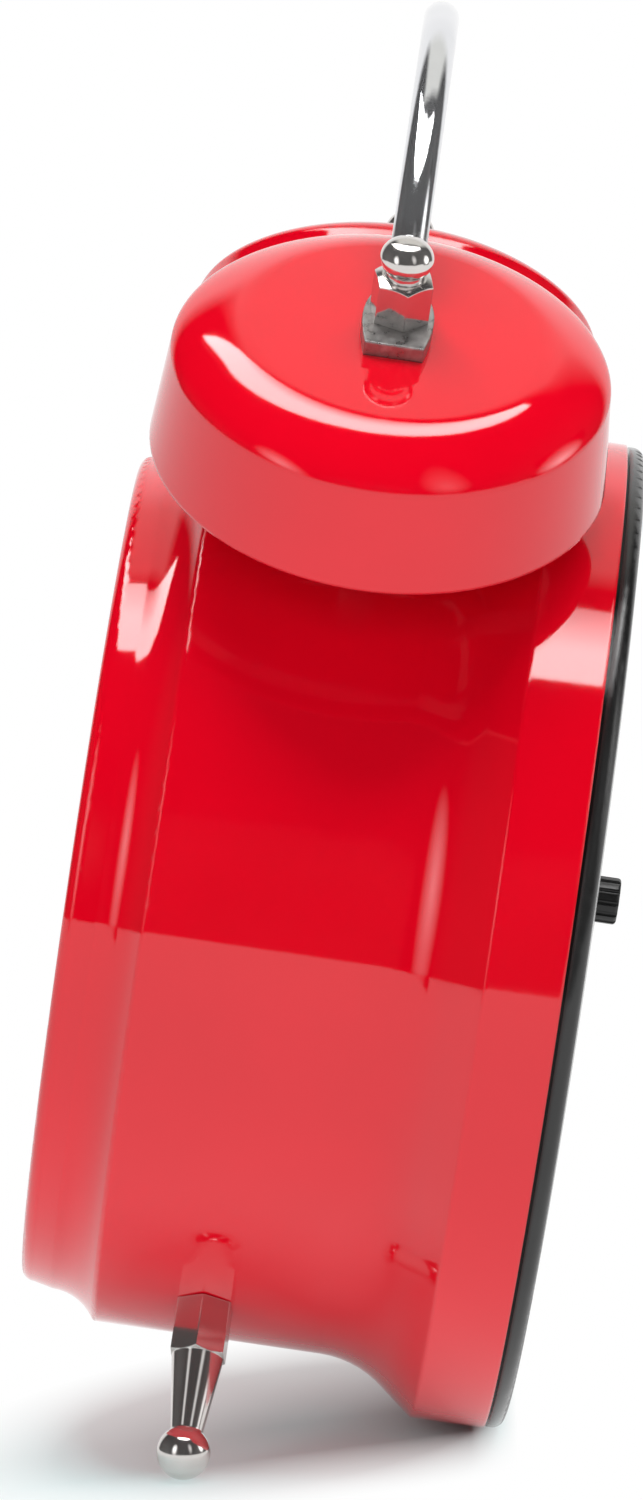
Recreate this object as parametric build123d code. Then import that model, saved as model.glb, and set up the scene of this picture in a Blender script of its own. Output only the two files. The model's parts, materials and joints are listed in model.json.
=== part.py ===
from build123d import *
import os
from math import acos, asin, atan2, cos, degrees, hypot, radians, sin, sqrt, tan

# Twin-bell alarm clock. Pieces are drawn in the drum's own frame: x to the right as the dial is read,
# y along the drum axis with 0 at the front plane and growing to the rear, z up before the clock leans back.
# stand() then leans the finished clock onto its two feet and the bottom of its rear flange.

# Drum of pressed sheet
WAIST_RADIUS = 90.0
FLANGE_STEP = 10.0
RIM_STEP = 6.1
RIM_FLARE = 0.9
RIM_LENGTH = 6.5
CASE_DEPTH = 96.0
FRONT_CREASE = 15.4
COVE_START = 61.5
COVE_KNEE = 75.0
COVE_KNEE_RISE = 5.1
FLANGE_START = 81.2
SHEET = 1.2
LIP_ROUND = 2.5
CREASE_ROUND = 1.0
WINDOW_LIP = 6.9

# Glass, dial and the carrier that clamps them behind the drum's lip
FRONT_CLEARANCE = 0.3
GASKET_THICKNESS = 0.8
GLASS_THICKNESS = 2.0
DIAL_RING_WALL = 3.6
DIAL_RING_FLARE = 2.0
HAND_ROOM = 9.0
DIAL_THICKNESS = 1.0
CARRIER_THICKNESS = 2.5
CARRIER_POST_RADIUS = 4.0
CARRIER_POST_INSET = 8.3
CARRIER_POSTS = 4
CARRIER_WINDOW_RADIUS = 15.0
CARRIER_WINDOW_CIRCLE = 54.0

# Rear cover
COVER_PARTING = 0.6
COVER_THICKNESS = 3.2
COVER_INSET = 0.4
COVER_EDGE_ROUND = 2.2
COVER_CROWN = 0.6
COVER_CROWN_START = 12.0
SPIGOT_WALL = 2.0
SPIGOT_LENGTH = 5.0
SCREW_RADIUS = 1.5
SCREW_HEAD_RADIUS = 3.0
SCREW_HEAD_HEIGHT = 1.4
SCREW_LENGTH = 10.0
SCREW_CLEARANCE = 0.2
SCREW_DRIVE_WIDTH = 0.8

# Battery bay and its hinged door
CELL_RADIUS = 7.1
CELL_LENGTH = 49.2
CELL_BUTTON_RADIUS = 2.7
CELL_BUTTON_HEIGHT = 1.2
CELL_CLEARANCE = 0.4
BAY_WALL = 1.5
BAY_TOP = -31.5
CONTACT_THICKNESS = 0.5
CONTACT_WIDTH = 9.0
DOOR_THICKNESS = 2.0
DOOR_OVERLAP = 2.0
DOOR_GAP = 0.4
DOOR_PIN_RADIUS = 0.7
DOOR_PIN_LENGTH = 2.5
DOOR_GRIP_LENGTH = 18.0
DOOR_GRIP_DEPTH = 0.6

# Bells on radial posts
BELL_ANGLE = 32.15
BELL_DEPTH = 46.9
BELL_STANDOFF = 21.7
BELL_RIM_RADIUS = 44.3
BELL_SHOULDER_RADIUS = 42.4
BELL_SHOULDER_HEIGHT = 20.8
BELL_TURN_HEIGHT = 22.6
BELL_BEVEL_ANGLE = 30.5
BELL_BEVEL_RADIUS = 37.0
BELL_CROWN_RADIUS = 28.2
BELL_CROWN_ANGLE = 3.5
BELL_SEAT_RADIUS = 10.0
BELL_HEIGHT = 29.9
BELL_WALL = 1.6
POST_RADIUS = 4.0
STUD_RADIUS = 2.5
STUD_CLEARANCE = 0.15
NUT_FLATS = 9.0
NUT_HEIGHT = 4.0
NUT_STUD_SPARE = 2.0

# Handle of bent rod with flattened ends
ROD_RADIUS = 3.5
HANDLE_RISE = 59.9
LUG_THICKNESS = 3.1
LUG_WIDTH = 13.6
LUG_END_WIDTH = 11.3
LUG_REACH = 10.3
LUG_ROOT = 8.0
ROD_BEND = 9.0
BEND_LIFT = 1.3
BEND_SEAT = 0.1
BEND_OVERLAP = 0.6

# Finial nuts
FINIAL_FLATS = 10.4
FINIAL_HEX_LENGTH = 9.2
FINIAL_CHAMFER = 0.9
FINIAL_TURN = 12.8
FINIAL_NECK_RADIUS = 3.8
FINIAL_BALL_RADIUS = 5.15
FINIAL_BALL_RISE = 4.0
FINIAL_BALL_HEIGHT = 13.1
FINIAL_BORE_DEPTH = 7.5

# Feet
FOOT_ANGLE = 31.67
FOOT_DEPTH = 37.5
FOOT_FLATS = 10.4
FOOT_HEX_LENGTH = 11.2
FOOT_TURN = 7.0
FOOT_CHAMFER = 0.4
FOOT_CONE_LENGTH = 15.5
FOOT_CONE_RADIUS = 5.15
FOOT_NECK_RADIUS = 3.2
FOOT_BALL_RADIUS = 5.3
FOOT_BALL_OFFSET = 4.5

# Striker: two electromagnets pull the armature of a hammer lever to and fro
BRACKET_CLEARANCE = 2.45
PIVOT_RADIUS = 1.5
RUNNING_CLEARANCE = 0.05
LEVER_RADIUS = 2.0
LEVER_HUB_RADIUS = 4.0
LEVER_HUB_LENGTH = 9.0
ARMATURE_DROP = 18.0
ARMATURE_SIZE = 6.0
ARMATURE_WIDTH = 10.0
ARMATURE_SWING = 4.5
HEAD_LENGTH = 22.0
HEAD_RADIUS = 6.0
HEAD_CROWN = 2.0
SLOT_WIDTH = 18.0
SLOT_DEPTH = 8.0
BRACKET_SHEET = 1.5
BRACKET_HALF_WIDTH = 27.0
BRACKET_CHEEK_GAP = 9.0
BRACKET_CHEEK_WIDTH = 10.0
BRACKET_FLANGE_HEIGHT = 20.0
BRACKET_FLANGE_WIDTH = 40.0
BRACKET_SCREW_SPREAD = 13.0
CORE_RADIUS = 3.0
COIL_RADIUS = 8.0
COIL_CLEARANCE = 0.1
COIL_LENGTH = 14.0
COIL_FLANGE = 1.0
COIL_FLANGE_RADIUS = 9.0
PIN_HEAD_RADIUS = 2.6
PIN_HEAD_HEIGHT = 1.0

# Quartz movement: case, levels of the wheels from front to back, and centre distances
MOVEMENT_SIZE = 66.0
MOVEMENT_WALL = 1.5
MOVEMENT_CORNER = 6.0
BUSH_RADIUS = 4.5
BUSH_STAND = 3.0
FIXING_NUT_FLATS = 12.0
FIXING_NUT_HEIGHT = 2.4
WHEEL_THICKNESS = 1.2
LEVEL_GAP = 0.7
END_SHAKE = 0.5
PINION_OVERHANG = 0.15
PIVOT_PIN_RADIUS = 0.5
PIVOT_PIN_DEPTH = 1.0
ARBOR_RADIUS = 0.9
TUBE_WALL = 0.55
SECOND_ARBOR_RADIUS = 0.6
MOTION_DISTANCE = 11.0
MOTION_BEARING = 164.0
ALARM_DISTANCE = 18.75
ALARM_BEARING = 33.9
TRAIN_DISTANCE = 10.54
TRAIN_BEARING = 270.0
STEP_DISTANCE = 10.8
STEP_BEARING = 90.0
ROTOR_DISTANCE = 8.4
ROTOR_BEARING = 133.0
TOOTH_ADDENDUM = 0.75
TOOTH_DEDENDUM = 1.05
TOOTH_BACKLASH = 0.2
CANNON_TEETH = 10
MOTION_TEETH = 30
MOTION_PINION_TEETH = 8
HOUR_TEETH = 32
ALARM_TEETH = 20
ALARM_SET_TEETH = 30
SECOND_PINION_TEETH = 8
THIRD_TEETH = 64
THIRD_PINION_TEETH = 8
CENTRE_TEETH = 60
STEP_PINION_TEETH = 8
SECOND_TEETH = 40
ROTOR_TEETH = 6
STEP_TEETH = 36

# Stepping motor and circuit board
MAGNET_RADIUS = 3.0
MAGNET_LENGTH = 3.0
STATOR_THICKNESS = 1.0
STATOR_RING = 1.6
STATOR_GAP = 0.6
STATOR_ARM = 5.0
STATOR_SPREAD = 13.0
STATOR_MARGIN = 1.5
MOTOR_COIL_RADIUS = 2.0
MOTOR_CORE_WIDTH = 3.0
BOARD_THICKNESS = 1.0
BOARD_SIDE_MARGIN = 3.5
BOARD_MARGIN = 1.0
BOARD_HEIGHT = 14.5
CRYSTAL_RADIUS = 1.5
CRYSTAL_LENGTH = 8.0

# Setting stems, knobs and the alarm switch on the rear cover
STEM_RADIUS = 2.0
STEM_GAP = 0.5
STEM_SOCKET = 4.0
KNOB_RADIUS = 4.65
KNOB_ROUND = 0.7
KNOB_COLLAR_RADIUS = 3.7
KNOB_COLLAR_LENGTH = 0.8
KNOB_GROOVE_RADIUS = 0.6
KNOB_GROOVES = 12
KNOB_TIP_THICKNESS = 1.4
ALARM_KNOB_STANDOFF = 1.2
ALARM_KNOB_LENGTH = 5.7
TIME_KNOB_STANDOFF = 0.6
TIME_KNOB_LENGTH = 3.1
PRESS_GAP = 0.02
SWITCH_HEIGHT = 28.9
SWITCH_THUMB_HEIGHT = 9.4
SWITCH_THUMB_WIDTH = 5.0
SWITCH_THUMB_STAND = 2.7
SWITCH_THUMB_ROUND = 2.0
SWITCH_TRAVEL = 5.0
SWITCH_CLEARANCE = 0.3
SWITCH_BODY_WIDTH = 20.0
SWITCH_BODY_HEIGHT = 15.0
SWITCH_BODY_DEPTH = 6.0
SWITCH_STEM_HEIGHT = 6.0

# Hands
HAND_THICKNESS = 0.6
HAND_GAP = 0.55
HAND_HUB_WALL = 2.4
HOUR_HAND_MARGIN = 31.0
HOUR_HAND_WIDTH = 7.0
MINUTE_HAND_MARGIN = 11.0
MINUTE_HAND_WIDTH = 5.6
SECOND_HAND_MARGIN = 7.0
SECOND_HAND_WIDTH = 1.4
SECOND_HAND_TAIL = 20.0
ALARM_HAND_MARGIN = 39.0
ALARM_HAND_WIDTH = 2.6
HOUR_HAND_ANGLE = -55.0
MINUTE_HAND_ANGLE = 60.0
SECOND_HAND_ANGLE = 180.0
ALARM_HAND_ANGLE = -120.0

# Radii of the drum's steps, its window and the hands that turn inside it
rim_radius = WAIST_RADIUS - RIM_STEP
flange_radius = WAIST_RADIUS + FLANGE_STEP
window_radius = rim_radius - WINDOW_LIP
hour_hand_length = window_radius - HOUR_HAND_MARGIN
minute_hand_length = window_radius - MINUTE_HAND_MARGIN
second_hand_length = window_radius - SECOND_HAND_MARGIN
alarm_hand_length = window_radius - ALARM_HAND_MARGIN

# Depths of the front stack, each piece seated on the one before
gasket_front = SHEET
glass_front = gasket_front + GASKET_THICKNESS
ring_front = glass_front + GLASS_THICKNESS
dial_front = ring_front + HAND_ROOM
carrier_front = dial_front + DIAL_THICKNESS
movement_front = carrier_front + CARRIER_THICKNESS
front_radius = rim_radius - SHEET - FRONT_CLEARANCE
post_circle = front_radius - CARRIER_POST_INSET - CARRIER_POST_RADIUS

# Depths of the movement's levels, front to back
level_pitch = WHEEL_THICKNESS + LEVEL_GAP
plate_back = movement_front + MOVEMENT_WALL
alarm_level = plate_back + END_SHAKE
hour_level = alarm_level + level_pitch
motion_level = hour_level + level_pitch
centre_level = motion_level + level_pitch
third_level = centre_level + level_pitch
second_level = third_level + level_pitch
step_level = second_level + level_pitch
back_plate = step_level + WHEEL_THICKNESS + END_SHAKE
movement_back = back_plate + MOVEMENT_WALL

# Places inside the movement's walls, and the striker above it
movement_half = MOVEMENT_SIZE / 2
stator_top = movement_half - MOVEMENT_WALL - STATOR_MARGIN
board_width = MOVEMENT_SIZE - 2 * MOVEMENT_WALL - 2 * BOARD_SIDE_MARGIN
board_bottom = MOVEMENT_WALL + BOARD_MARGIN - movement_half
board_top = board_bottom + BOARD_HEIGHT
bracket_floor = movement_half + BRACKET_CLEARANCE
armature_height = bracket_floor + BRACKET_SHEET + RUNNING_CLEARANCE + COIL_FLANGE_RADIUS
pivot_height = armature_height + ARMATURE_DROP
bracket_screw_height = bracket_floor + BRACKET_SHEET + BRACKET_FLANGE_HEIGHT / 2

# Depths of the hands, rear to front, and of the tube ends that carry them
alarm_hand_back = dial_front - FIXING_NUT_HEIGHT - HAND_GAP
hour_hand_back = alarm_hand_back - HAND_THICKNESS - HAND_GAP
minute_hand_back = hour_hand_back - HAND_THICKNESS - HAND_GAP
second_hand_back = minute_hand_back - HAND_THICKNESS - HAND_GAP

# Radii of the tubes that run one inside the other on the centre axis
minute_bore = SECOND_ARBOR_RADIUS + RUNNING_CLEARANCE
minute_radius = minute_bore + TUBE_WALL
hour_bore = minute_radius + RUNNING_CLEARANCE
hour_radius = hour_bore + TUBE_WALL
alarm_bore = hour_radius + RUNNING_CLEARANCE
alarm_radius = alarm_bore + TUBE_WALL
bush_bore = alarm_radius + RUNNING_CLEARANCE

# Rear cover and battery bay
cover_front = CASE_DEPTH + COVER_PARTING
cover_back = cover_front + COVER_THICKNESS
cover_face = cover_back + COVER_CROWN
door_back = cover_face
door_front = door_back - DOOR_THICKNESS
cell_depth = door_front - CELL_CLEARANCE - CELL_RADIUS
bay_floor = cell_depth - CELL_RADIUS - CELL_CLEARANCE
bay_height = 4 * CELL_RADIUS + 3 * CELL_CLEARANCE
bay_bottom = BAY_TOP - bay_height
bay_half_length = (CELL_LENGTH + CELL_BUTTON_HEIGHT) / 2 + CONTACT_THICKNESS + CELL_CLEARANCE
hinge_depth = (door_front + door_back) / 2
hinge_height = bay_bottom - DOOR_OVERLAP
door_half_width = bay_half_length + DOOR_OVERLAP
door_top = BAY_TOP + DOOR_OVERLAP

# Heights along a bell's axis, from the drum axis
bell_rim = WAIST_RADIUS + BELL_STANDOFF
bell_top = bell_rim + BELL_HEIGHT
lug_top = bell_top + LUG_THICKNESS
handle_top = lug_top * cos(radians(BELL_ANGLE)) + HANDLE_RISE
strike_height = bell_rim * cos(radians(BELL_ANGLE)) + BELL_RIM_RADIUS * sin(radians(BELL_ANGLE))
foot_ball = WAIST_RADIUS + FOOT_HEX_LENGTH + FOOT_CONE_LENGTH + FOOT_BALL_OFFSET


def polar(distance, bearing):
    """Point in the plane of the dial, bearing counted from the right."""
    return (distance * cos(radians(bearing)), distance * sin(radians(bearing)))


centre = (0.0, 0.0)
motion_centre = polar(MOTION_DISTANCE, MOTION_BEARING)
alarm_centre = polar(ALARM_DISTANCE, ALARM_BEARING)
third_centre = polar(TRAIN_DISTANCE, TRAIN_BEARING)
step_centre = polar(STEP_DISTANCE, STEP_BEARING)
rotor_offset = polar(ROTOR_DISTANCE, ROTOR_BEARING)
rotor_centre = (step_centre[0] + rotor_offset[0], step_centre[1] + rotor_offset[1])


def lean_angle():
    """Angle at which one floor line touches the foot balls and the flange's rear edge."""
    run = CASE_DEPTH - FOOT_DEPTH
    rise = foot_ball * cos(radians(FOOT_ANGLE)) - flange_radius
    return degrees(atan2(rise, run) + asin(FOOT_BALL_RADIUS / hypot(run, rise)))


LEAN = lean_angle()


def slab(sketch, front, back):
    """Extrude a sketch, drawn as the dial is read, between two depths."""
    plane = Plane(origin=(0, front, 0), x_dir=(1, 0, 0), z_dir=(0, -1, 0))
    return extrude(plane * sketch, amount=front - back)


def disc(place, radius, front, back):
    """Round bar along the depth."""
    return slab(Pos(place[0], place[1]) * Circle(radius), front, back)


def box(low, high):
    """Block between two corners."""
    size = [b - a for a, b in zip(low, high)]
    return Pos(*low) * Box(*size, align=(Align.MIN, Align.MIN, Align.MIN))


def turned(outline):
    """Solid of revolution about z from an outline of (radius, height)."""
    return revolve(Plane.XZ * make_face(outline), Axis.Z)


def drum_turned(outline):
    """Solid of revolution about the drum axis from an outline of (radius, depth)."""
    return revolve(make_face(outline), Axis.Y)


def bar(radius, low, high):
    """Round bar along z."""
    return Pos(0, 0, low) * Cylinder(radius, high - low, align=(Align.CENTER, Align.CENTER, Align.MIN))


def hexagon(flats, low, high, turn=0.0):
    """Hexagonal bar along z, by its width across flats."""
    outline = RegularPolygon(flats / 2, 6, major_radius=False, rotation=turn)
    return Pos(0, 0, low) * extrude(outline, amount=high - low)


def at_bell(side):
    """Places a piece drawn along z on a bell's axis."""
    return Pos(0, BELL_DEPTH, 0) * Rot(0, side * BELL_ANGLE, 0)


def at_foot(side):
    """Places a piece drawn along z on a foot's axis."""
    return Pos(0, FOOT_DEPTH, 0) * Rot(0, side * (180 - FOOT_ANGLE), 0)


def case_body(inset, front, back):
    """Body of the drum's outer form, drawn in by the sheet for its inside."""
    rim = rim_radius - inset
    rim_end = rim + RIM_FLARE
    waist = WAIST_RADIUS - inset
    knee = waist + COVE_KNEE_RISE
    flange = flange_radius - inset
    rounding = LIP_ROUND - inset
    outline = Line((0, front), (rim - rounding, front))
    outline += RadiusArc((rim - rounding, front), (rim, front + rounding), -rounding)
    outline += Line((rim, front + rounding), (rim_end, RIM_LENGTH))
    outline += TangentArc((rim_end, RIM_LENGTH), (waist, FRONT_CREASE), tangent=(0, 1))
    outline += Line((waist, FRONT_CREASE), (waist, COVE_START))
    outline += TangentArc((waist, COVE_START), (knee, COVE_KNEE), tangent=(0, 1))
    outline += Line((knee, COVE_KNEE), (flange, FLANGE_START))
    outline += Polyline((flange, FLANGE_START), (flange, back), (0, back), (0, front))
    face = make_face(outline)
    creases = [(waist, FRONT_CREASE), (flange, FLANGE_START)]
    for crease in creases:
        corner = face.vertices().sort_by_distance((crease[0], crease[1], 0))[0]
        face = fillet(corner, CREASE_ROUND)
    return revolve(face, Axis.Y)


def drum():
    """Pressed red drum with its window, hammer slot, and holes for the bell posts and feet."""
    shell = case_body(0, 0, CASE_DEPTH) - case_body(SHEET, SHEET, CASE_DEPTH + SHEET)
    shell -= disc(centre, window_radius, -SHEET, 2 * SHEET)
    slot = Pos(0, BELL_DEPTH) * SlotOverall(SLOT_WIDTH, SLOT_DEPTH)
    shell -= Pos(0, 0, pivot_height) * extrude(slot, amount=WAIST_RADIUS)
    hole = bar(STUD_RADIUS + STUD_CLEARANCE, WAIST_RADIUS - 5 * SHEET, WAIST_RADIUS + 5 * SHEET)
    for side in (-1, 1):
        shell -= at_bell(side) * hole
        shell -= at_foot(side) * hole
    return shell


def glass_gasket():
    """Flat seal between the lip and the glass, inside the lip's rounded corner."""
    outer = front_radius - LIP_ROUND + SHEET
    return disc(centre, outer, gasket_front, glass_front) - disc(centre, window_radius, 0, ring_front)


def front_glass():
    """Flat glass with eased edges."""
    glass = disc(centre, front_radius, glass_front, ring_front)
    return chamfer(glass.edges(), GLASS_THICKNESS / 5)


def dial_ring():
    """Spacer ring that stands the glass off the dial, flared to the front."""
    inner = front_radius - DIAL_RING_WALL
    outline = Polyline(
        (inner + DIAL_RING_FLARE, ring_front),
        (front_radius, ring_front),
        (front_radius, dial_front),
        (inner, dial_front),
        close=True,
    )
    return drum_turned(outline)


def dial_plate():
    """Dial with a hole for the movement's bush."""
    return disc(centre, front_radius, dial_front, carrier_front) - disc(
        centre, BUSH_RADIUS + FRONT_CLEARANCE, 0, movement_front
    )


def post_places():
    """Places of the carrier's posts, which the cover screws share."""
    return [polar(post_circle, 360 * (k + 0.5) / CARRIER_POSTS) for k in range(CARRIER_POSTS)]


def dial_carrier():
    """Moulded plate behind the dial with posts that reach back to the rear cover."""
    plate = disc(centre, front_radius, carrier_front, movement_front)
    plate -= disc(centre, BUSH_RADIUS + FRONT_CLEARANCE, 0, movement_back)
    for bearing in (0, 180, 270):
        plate -= disc(polar(CARRIER_WINDOW_CIRCLE, bearing), CARRIER_WINDOW_RADIUS, 0, movement_back)
    for place in post_places():
        plate += disc(place, CARRIER_POST_RADIUS, carrier_front, cover_front)
        plate -= disc(place, SCREW_RADIUS, cover_front - SCREW_LENGTH, cover_front)
    for side in (-1, 1):
        place = (side * BRACKET_SCREW_SPREAD, bracket_screw_height)
        plate -= disc(place, SCREW_RADIUS, carrier_front, movement_front)
    return plate


def cover_disc():
    """Dished disc of the rear cover, rounded at its edge and slightly crowned."""
    radius = flange_radius - COVER_INSET
    shoulder = radius - COVER_EDGE_ROUND
    crown = radius - COVER_CROWN_START
    outline = Line((0, cover_front), (radius, cover_front))
    outline += Line((radius, cover_front), (radius, cover_back - COVER_EDGE_ROUND))
    outline += RadiusArc((radius, cover_back - COVER_EDGE_ROUND), (shoulder, cover_back), -COVER_EDGE_ROUND)
    outline += Line((shoulder, cover_back), (crown, cover_face))
    outline += Polyline((crown, cover_face), (0, cover_face), (0, cover_front))
    return drum_turned(outline)


def rear_cover():
    """Black moulded cover with spigot, battery bay, stem holes, switch slot and screw recesses."""
    spigot_radius = flange_radius - SHEET - FRONT_CLEARANCE
    cover = cover_disc()
    cover += disc(centre, spigot_radius, CASE_DEPTH - SPIGOT_LENGTH, cover_front) - disc(
        centre, spigot_radius - SPIGOT_WALL, CASE_DEPTH - SPIGOT_LENGTH, cover_front
    )
    bay_low = (-bay_half_length - BAY_WALL, bay_floor - BAY_WALL, bay_bottom - BAY_WALL)
    cover += box(bay_low, (bay_half_length + BAY_WALL, cover_front, BAY_TOP + BAY_WALL))
    cover -= box((-bay_half_length, bay_floor, bay_bottom), (bay_half_length, cover_face + 1, BAY_TOP))
    half = door_half_width + DOOR_GAP
    low = hinge_height - DOOR_THICKNESS / 2 - DOOR_GAP
    cover -= box((-half, door_front - DOOR_GAP, low), (half, cover_face + 1, door_top + DOOR_GAP))
    for side in (-1, 1):
        pin_reach = 2 * DOOR_PIN_LENGTH + DOOR_GAP
        pin_hole = Cylinder(DOOR_PIN_RADIUS + RUNNING_CLEARANCE, pin_reach, rotation=(0, 90, 0))
        cover -= Pos(side * half, hinge_depth, hinge_height) * pin_hole
    for place in post_places():
        cover -= disc(place, SCREW_RADIUS + SCREW_CLEARANCE, cover_front, cover_face + 1)
        recess = SCREW_HEAD_RADIUS + SCREW_CLEARANCE
        cover -= disc(place, recess, cover_face - SCREW_HEAD_HEIGHT, cover_face + 1)
    for place in (motion_centre, alarm_centre):
        cover -= disc(place, STEM_RADIUS + RUNNING_CLEARANCE, cover_front - 1, cover_face + 1)
    slot_half = SWITCH_THUMB_WIDTH / 2 + SWITCH_CLEARANCE
    slot_rise = SWITCH_STEM_HEIGHT / 2 + SWITCH_CLEARANCE
    cover -= box(
        (-slot_half, cover_front - 1, SWITCH_HEIGHT - slot_rise),
        (slot_half + SWITCH_TRAVEL, cover_face + 1, SWITCH_HEIGHT + slot_rise),
    )
    return cover


def screw(place, seat, direction=1):
    """Pan-head screw along the depth, with its head behind the seat and a cross drive."""
    head = disc(place, SCREW_HEAD_RADIUS, seat, seat + SCREW_HEAD_HEIGHT)
    for width, height in ((SCREW_DRIVE_WIDTH, SCREW_HEAD_RADIUS), (SCREW_HEAD_RADIUS, SCREW_DRIVE_WIDTH)):
        cross = Pos(*place) * Rectangle(width, height)
        head -= slab(cross, seat + SCREW_HEAD_HEIGHT / 2, seat + SCREW_HEAD_HEIGHT)
    return head + disc(place, SCREW_RADIUS - PRESS_GAP, seat - direction * SCREW_LENGTH, seat)


def cover_screws():
    """Screws through the rear cover into the carrier's posts."""
    return [screw(place, cover_face - SCREW_HEAD_HEIGHT) for place in post_places()]


def battery_door():
    """Door of the battery bay with a rounded hinge edge, pins and a ribbed thumb grip."""
    plate = box((-door_half_width, door_front, hinge_height), (door_half_width, door_back, door_top))
    plate += Pos(0, hinge_depth, hinge_height) * Cylinder(
        DOOR_THICKNESS / 2, 2 * door_half_width, rotation=(0, 90, 0)
    )
    pin_span = 2 * (door_half_width + DOOR_PIN_LENGTH)
    plate += Pos(0, hinge_depth, hinge_height) * Cylinder(DOOR_PIN_RADIUS, pin_span, rotation=(0, 90, 0))
    for k in range(4):
        groove = Pos(0, door_back, door_top - 3 - 2 * k) * Cylinder(
            DOOR_GRIP_DEPTH, DOOR_GRIP_LENGTH, rotation=(0, 90, 0)
        )
        plate -= groove
    return plate


def cell_heights():
    """Heights of the two cells in the bay."""
    lower = bay_bottom + CELL_CLEARANCE + CELL_RADIUS
    return (lower, lower + 2 * CELL_RADIUS + CELL_CLEARANCE)


def battery_cells():
    """Two round cells, laid head to tail."""
    cells = []
    for height, way in zip(cell_heights(), (-1, 1)):
        half = (CELL_LENGTH + CELL_BUTTON_HEIGHT) / 2
        body = bar(CELL_RADIUS, -half, half - CELL_BUTTON_HEIGHT)
        body += bar(CELL_BUTTON_RADIUS, half - CELL_BUTTON_HEIGHT, half)
        cells.append(Pos(0, cell_depth, height) * Rot(0, way * 90, 0) * body)
    return cells


def battery_contacts():
    """Sprung contact plates at both ends of each cell."""
    plates = []
    inner = bay_half_length - CONTACT_THICKNESS
    for side in (-1, 1):
        for height in cell_heights():
            low = min(side * inner, side * bay_half_length)
            plates.append(
                box(
                    (low, cell_depth - CONTACT_WIDTH / 2, height - CONTACT_WIDTH / 2),
                    (low + CONTACT_THICKNESS, cell_depth + CONTACT_WIDTH / 2, height + CONTACT_WIDTH / 2),
                )
            )
    return plates


def bell_form(inset):
    """Solid bell form about z, drawn in by the wall for its inside: wall, bevelled shoulder and low dome."""
    slope = tan(radians(BELL_BEVEL_ANGLE))
    fall = tan(radians(BELL_CROWN_ANGLE))
    rim = (BELL_RIM_RADIUS - inset, bell_rim)
    shoulder = (BELL_SHOULDER_RADIUS - inset, bell_rim + BELL_SHOULDER_HEIGHT - inset)
    turn = (BELL_SHOULDER_RADIUS - inset, bell_rim + BELL_TURN_HEIGHT - inset)
    bevel = (BELL_BEVEL_RADIUS - inset, turn[1] + (BELL_SHOULDER_RADIUS - BELL_BEVEL_RADIUS) * slope)
    seat = (BELL_SEAT_RADIUS, bell_top - inset)
    crown_height = seat[1] - (BELL_CROWN_RADIUS - BELL_SEAT_RADIUS) * tan(radians(BELL_CROWN_ANGLE / 2))
    crown = (BELL_CROWN_RADIUS - inset, crown_height)
    knee_run = (crown[1] - bevel[1] - fall * (bevel[0] - crown[0])) / (slope - fall)
    knee = (bevel[0] - knee_run, bevel[1] + knee_run * slope)
    outline = Line((0, bell_rim), rim)
    outline += Line(rim, shoulder)
    outline += Bezier(shoulder, turn, bevel)
    outline += Bezier(bevel, knee, crown)
    outline += TangentArc(crown, seat, tangent=(crown[0] - knee[0], crown[1] - knee[1]))
    outline += Polyline(seat, (0, bell_top - inset), (0, bell_rim))
    return turned(outline)


def bell(side):
    """Spun bell with a flat seat at its top."""
    shell = bell_form(0) - bell_form(BELL_WALL)
    shell -= bar(STUD_RADIUS + STUD_CLEARANCE, bell_rim, lug_top)
    return at_bell(side) * shell


def nut_seat():
    """Height of an inner nut's outer face, where its corners meet the drum's inside."""
    inside = WAIST_RADIUS - SHEET
    half = NUT_FLATS / sqrt(3)
    return sqrt(inside * inside - half * half) - PRESS_GAP


def stud_end():
    """Inner end of the bell posts' and feet's studs."""
    return nut_seat() - NUT_HEIGHT - NUT_STUD_SPARE


def bell_post(side):
    """Shouldered post that carries a bell, with studs through the drum and into the finial."""
    post = bar(POST_RADIUS, WAIST_RADIUS + PRESS_GAP, bell_top - BELL_WALL)
    post += bar(STUD_RADIUS, stud_end(), lug_top + FINIAL_BORE_DEPTH - RUNNING_CLEARANCE)
    return at_bell(side) * post


def inner_nut():
    """Hexagonal nut on a stud inside the drum."""
    return hexagon(NUT_FLATS, nut_seat() - NUT_HEIGHT, nut_seat()) - bar(
        STUD_RADIUS + PRESS_GAP, stud_end(), WAIST_RADIUS
    )


def post_nuts():
    """Nuts of the bell posts."""
    return [at_bell(side) * inner_nut() for side in (-1, 1)]


def foot_nuts():
    """Nuts of the feet."""
    return [at_foot(side) * inner_nut() for side in (-1, 1)]


def lug_outline():
    """Flattened end of the handle: widest at the stud, cut off at its outer end."""
    half = LUG_WIDTH / 2
    end = LUG_END_WIDTH / 2
    root = ROD_RADIUS + 1.0
    outline = Spline((-LUG_ROOT, root), (-LUG_ROOT / 2, half - 0.6), (0, half), (LUG_REACH, end))
    outline += Line((LUG_REACH, end), (LUG_REACH, -end))
    outline += Spline((LUG_REACH, -end), (0, -half), (-LUG_ROOT / 2, 0.6 - half), (-LUG_ROOT, -root))
    outline += Line((-LUG_ROOT, -root), (-LUG_ROOT, root))
    return make_face(outline)


def handle_lug(side):
    """Flattened and pierced end of the rod, with the squeeze that blends it into the round rod."""
    plate = Pos(0, 0, bell_top) * extrude(lug_outline(), amount=LUG_THICKNESS)
    plate -= bar(STUD_RADIUS + STUD_CLEARANCE, bell_rim, lug_top)
    return at_bell(side) * plate


def handle_arc():
    """Radius, centre height and half angle of the handle's arch."""
    angle = radians(BELL_ANGLE)
    along = LUG_ROOT + ROD_BEND / 2
    middle = bell_top + LUG_THICKNESS / 2
    x = middle * sin(angle) - along * cos(angle)
    z = middle * cos(angle) + along * sin(angle) + ROD_BEND / 2
    crown = handle_top - ROD_RADIUS
    radius = (x * x + (crown - z) ** 2) / (2 * (crown - z))
    return radius, crown - radius, degrees(asin(x / radius))


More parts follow.
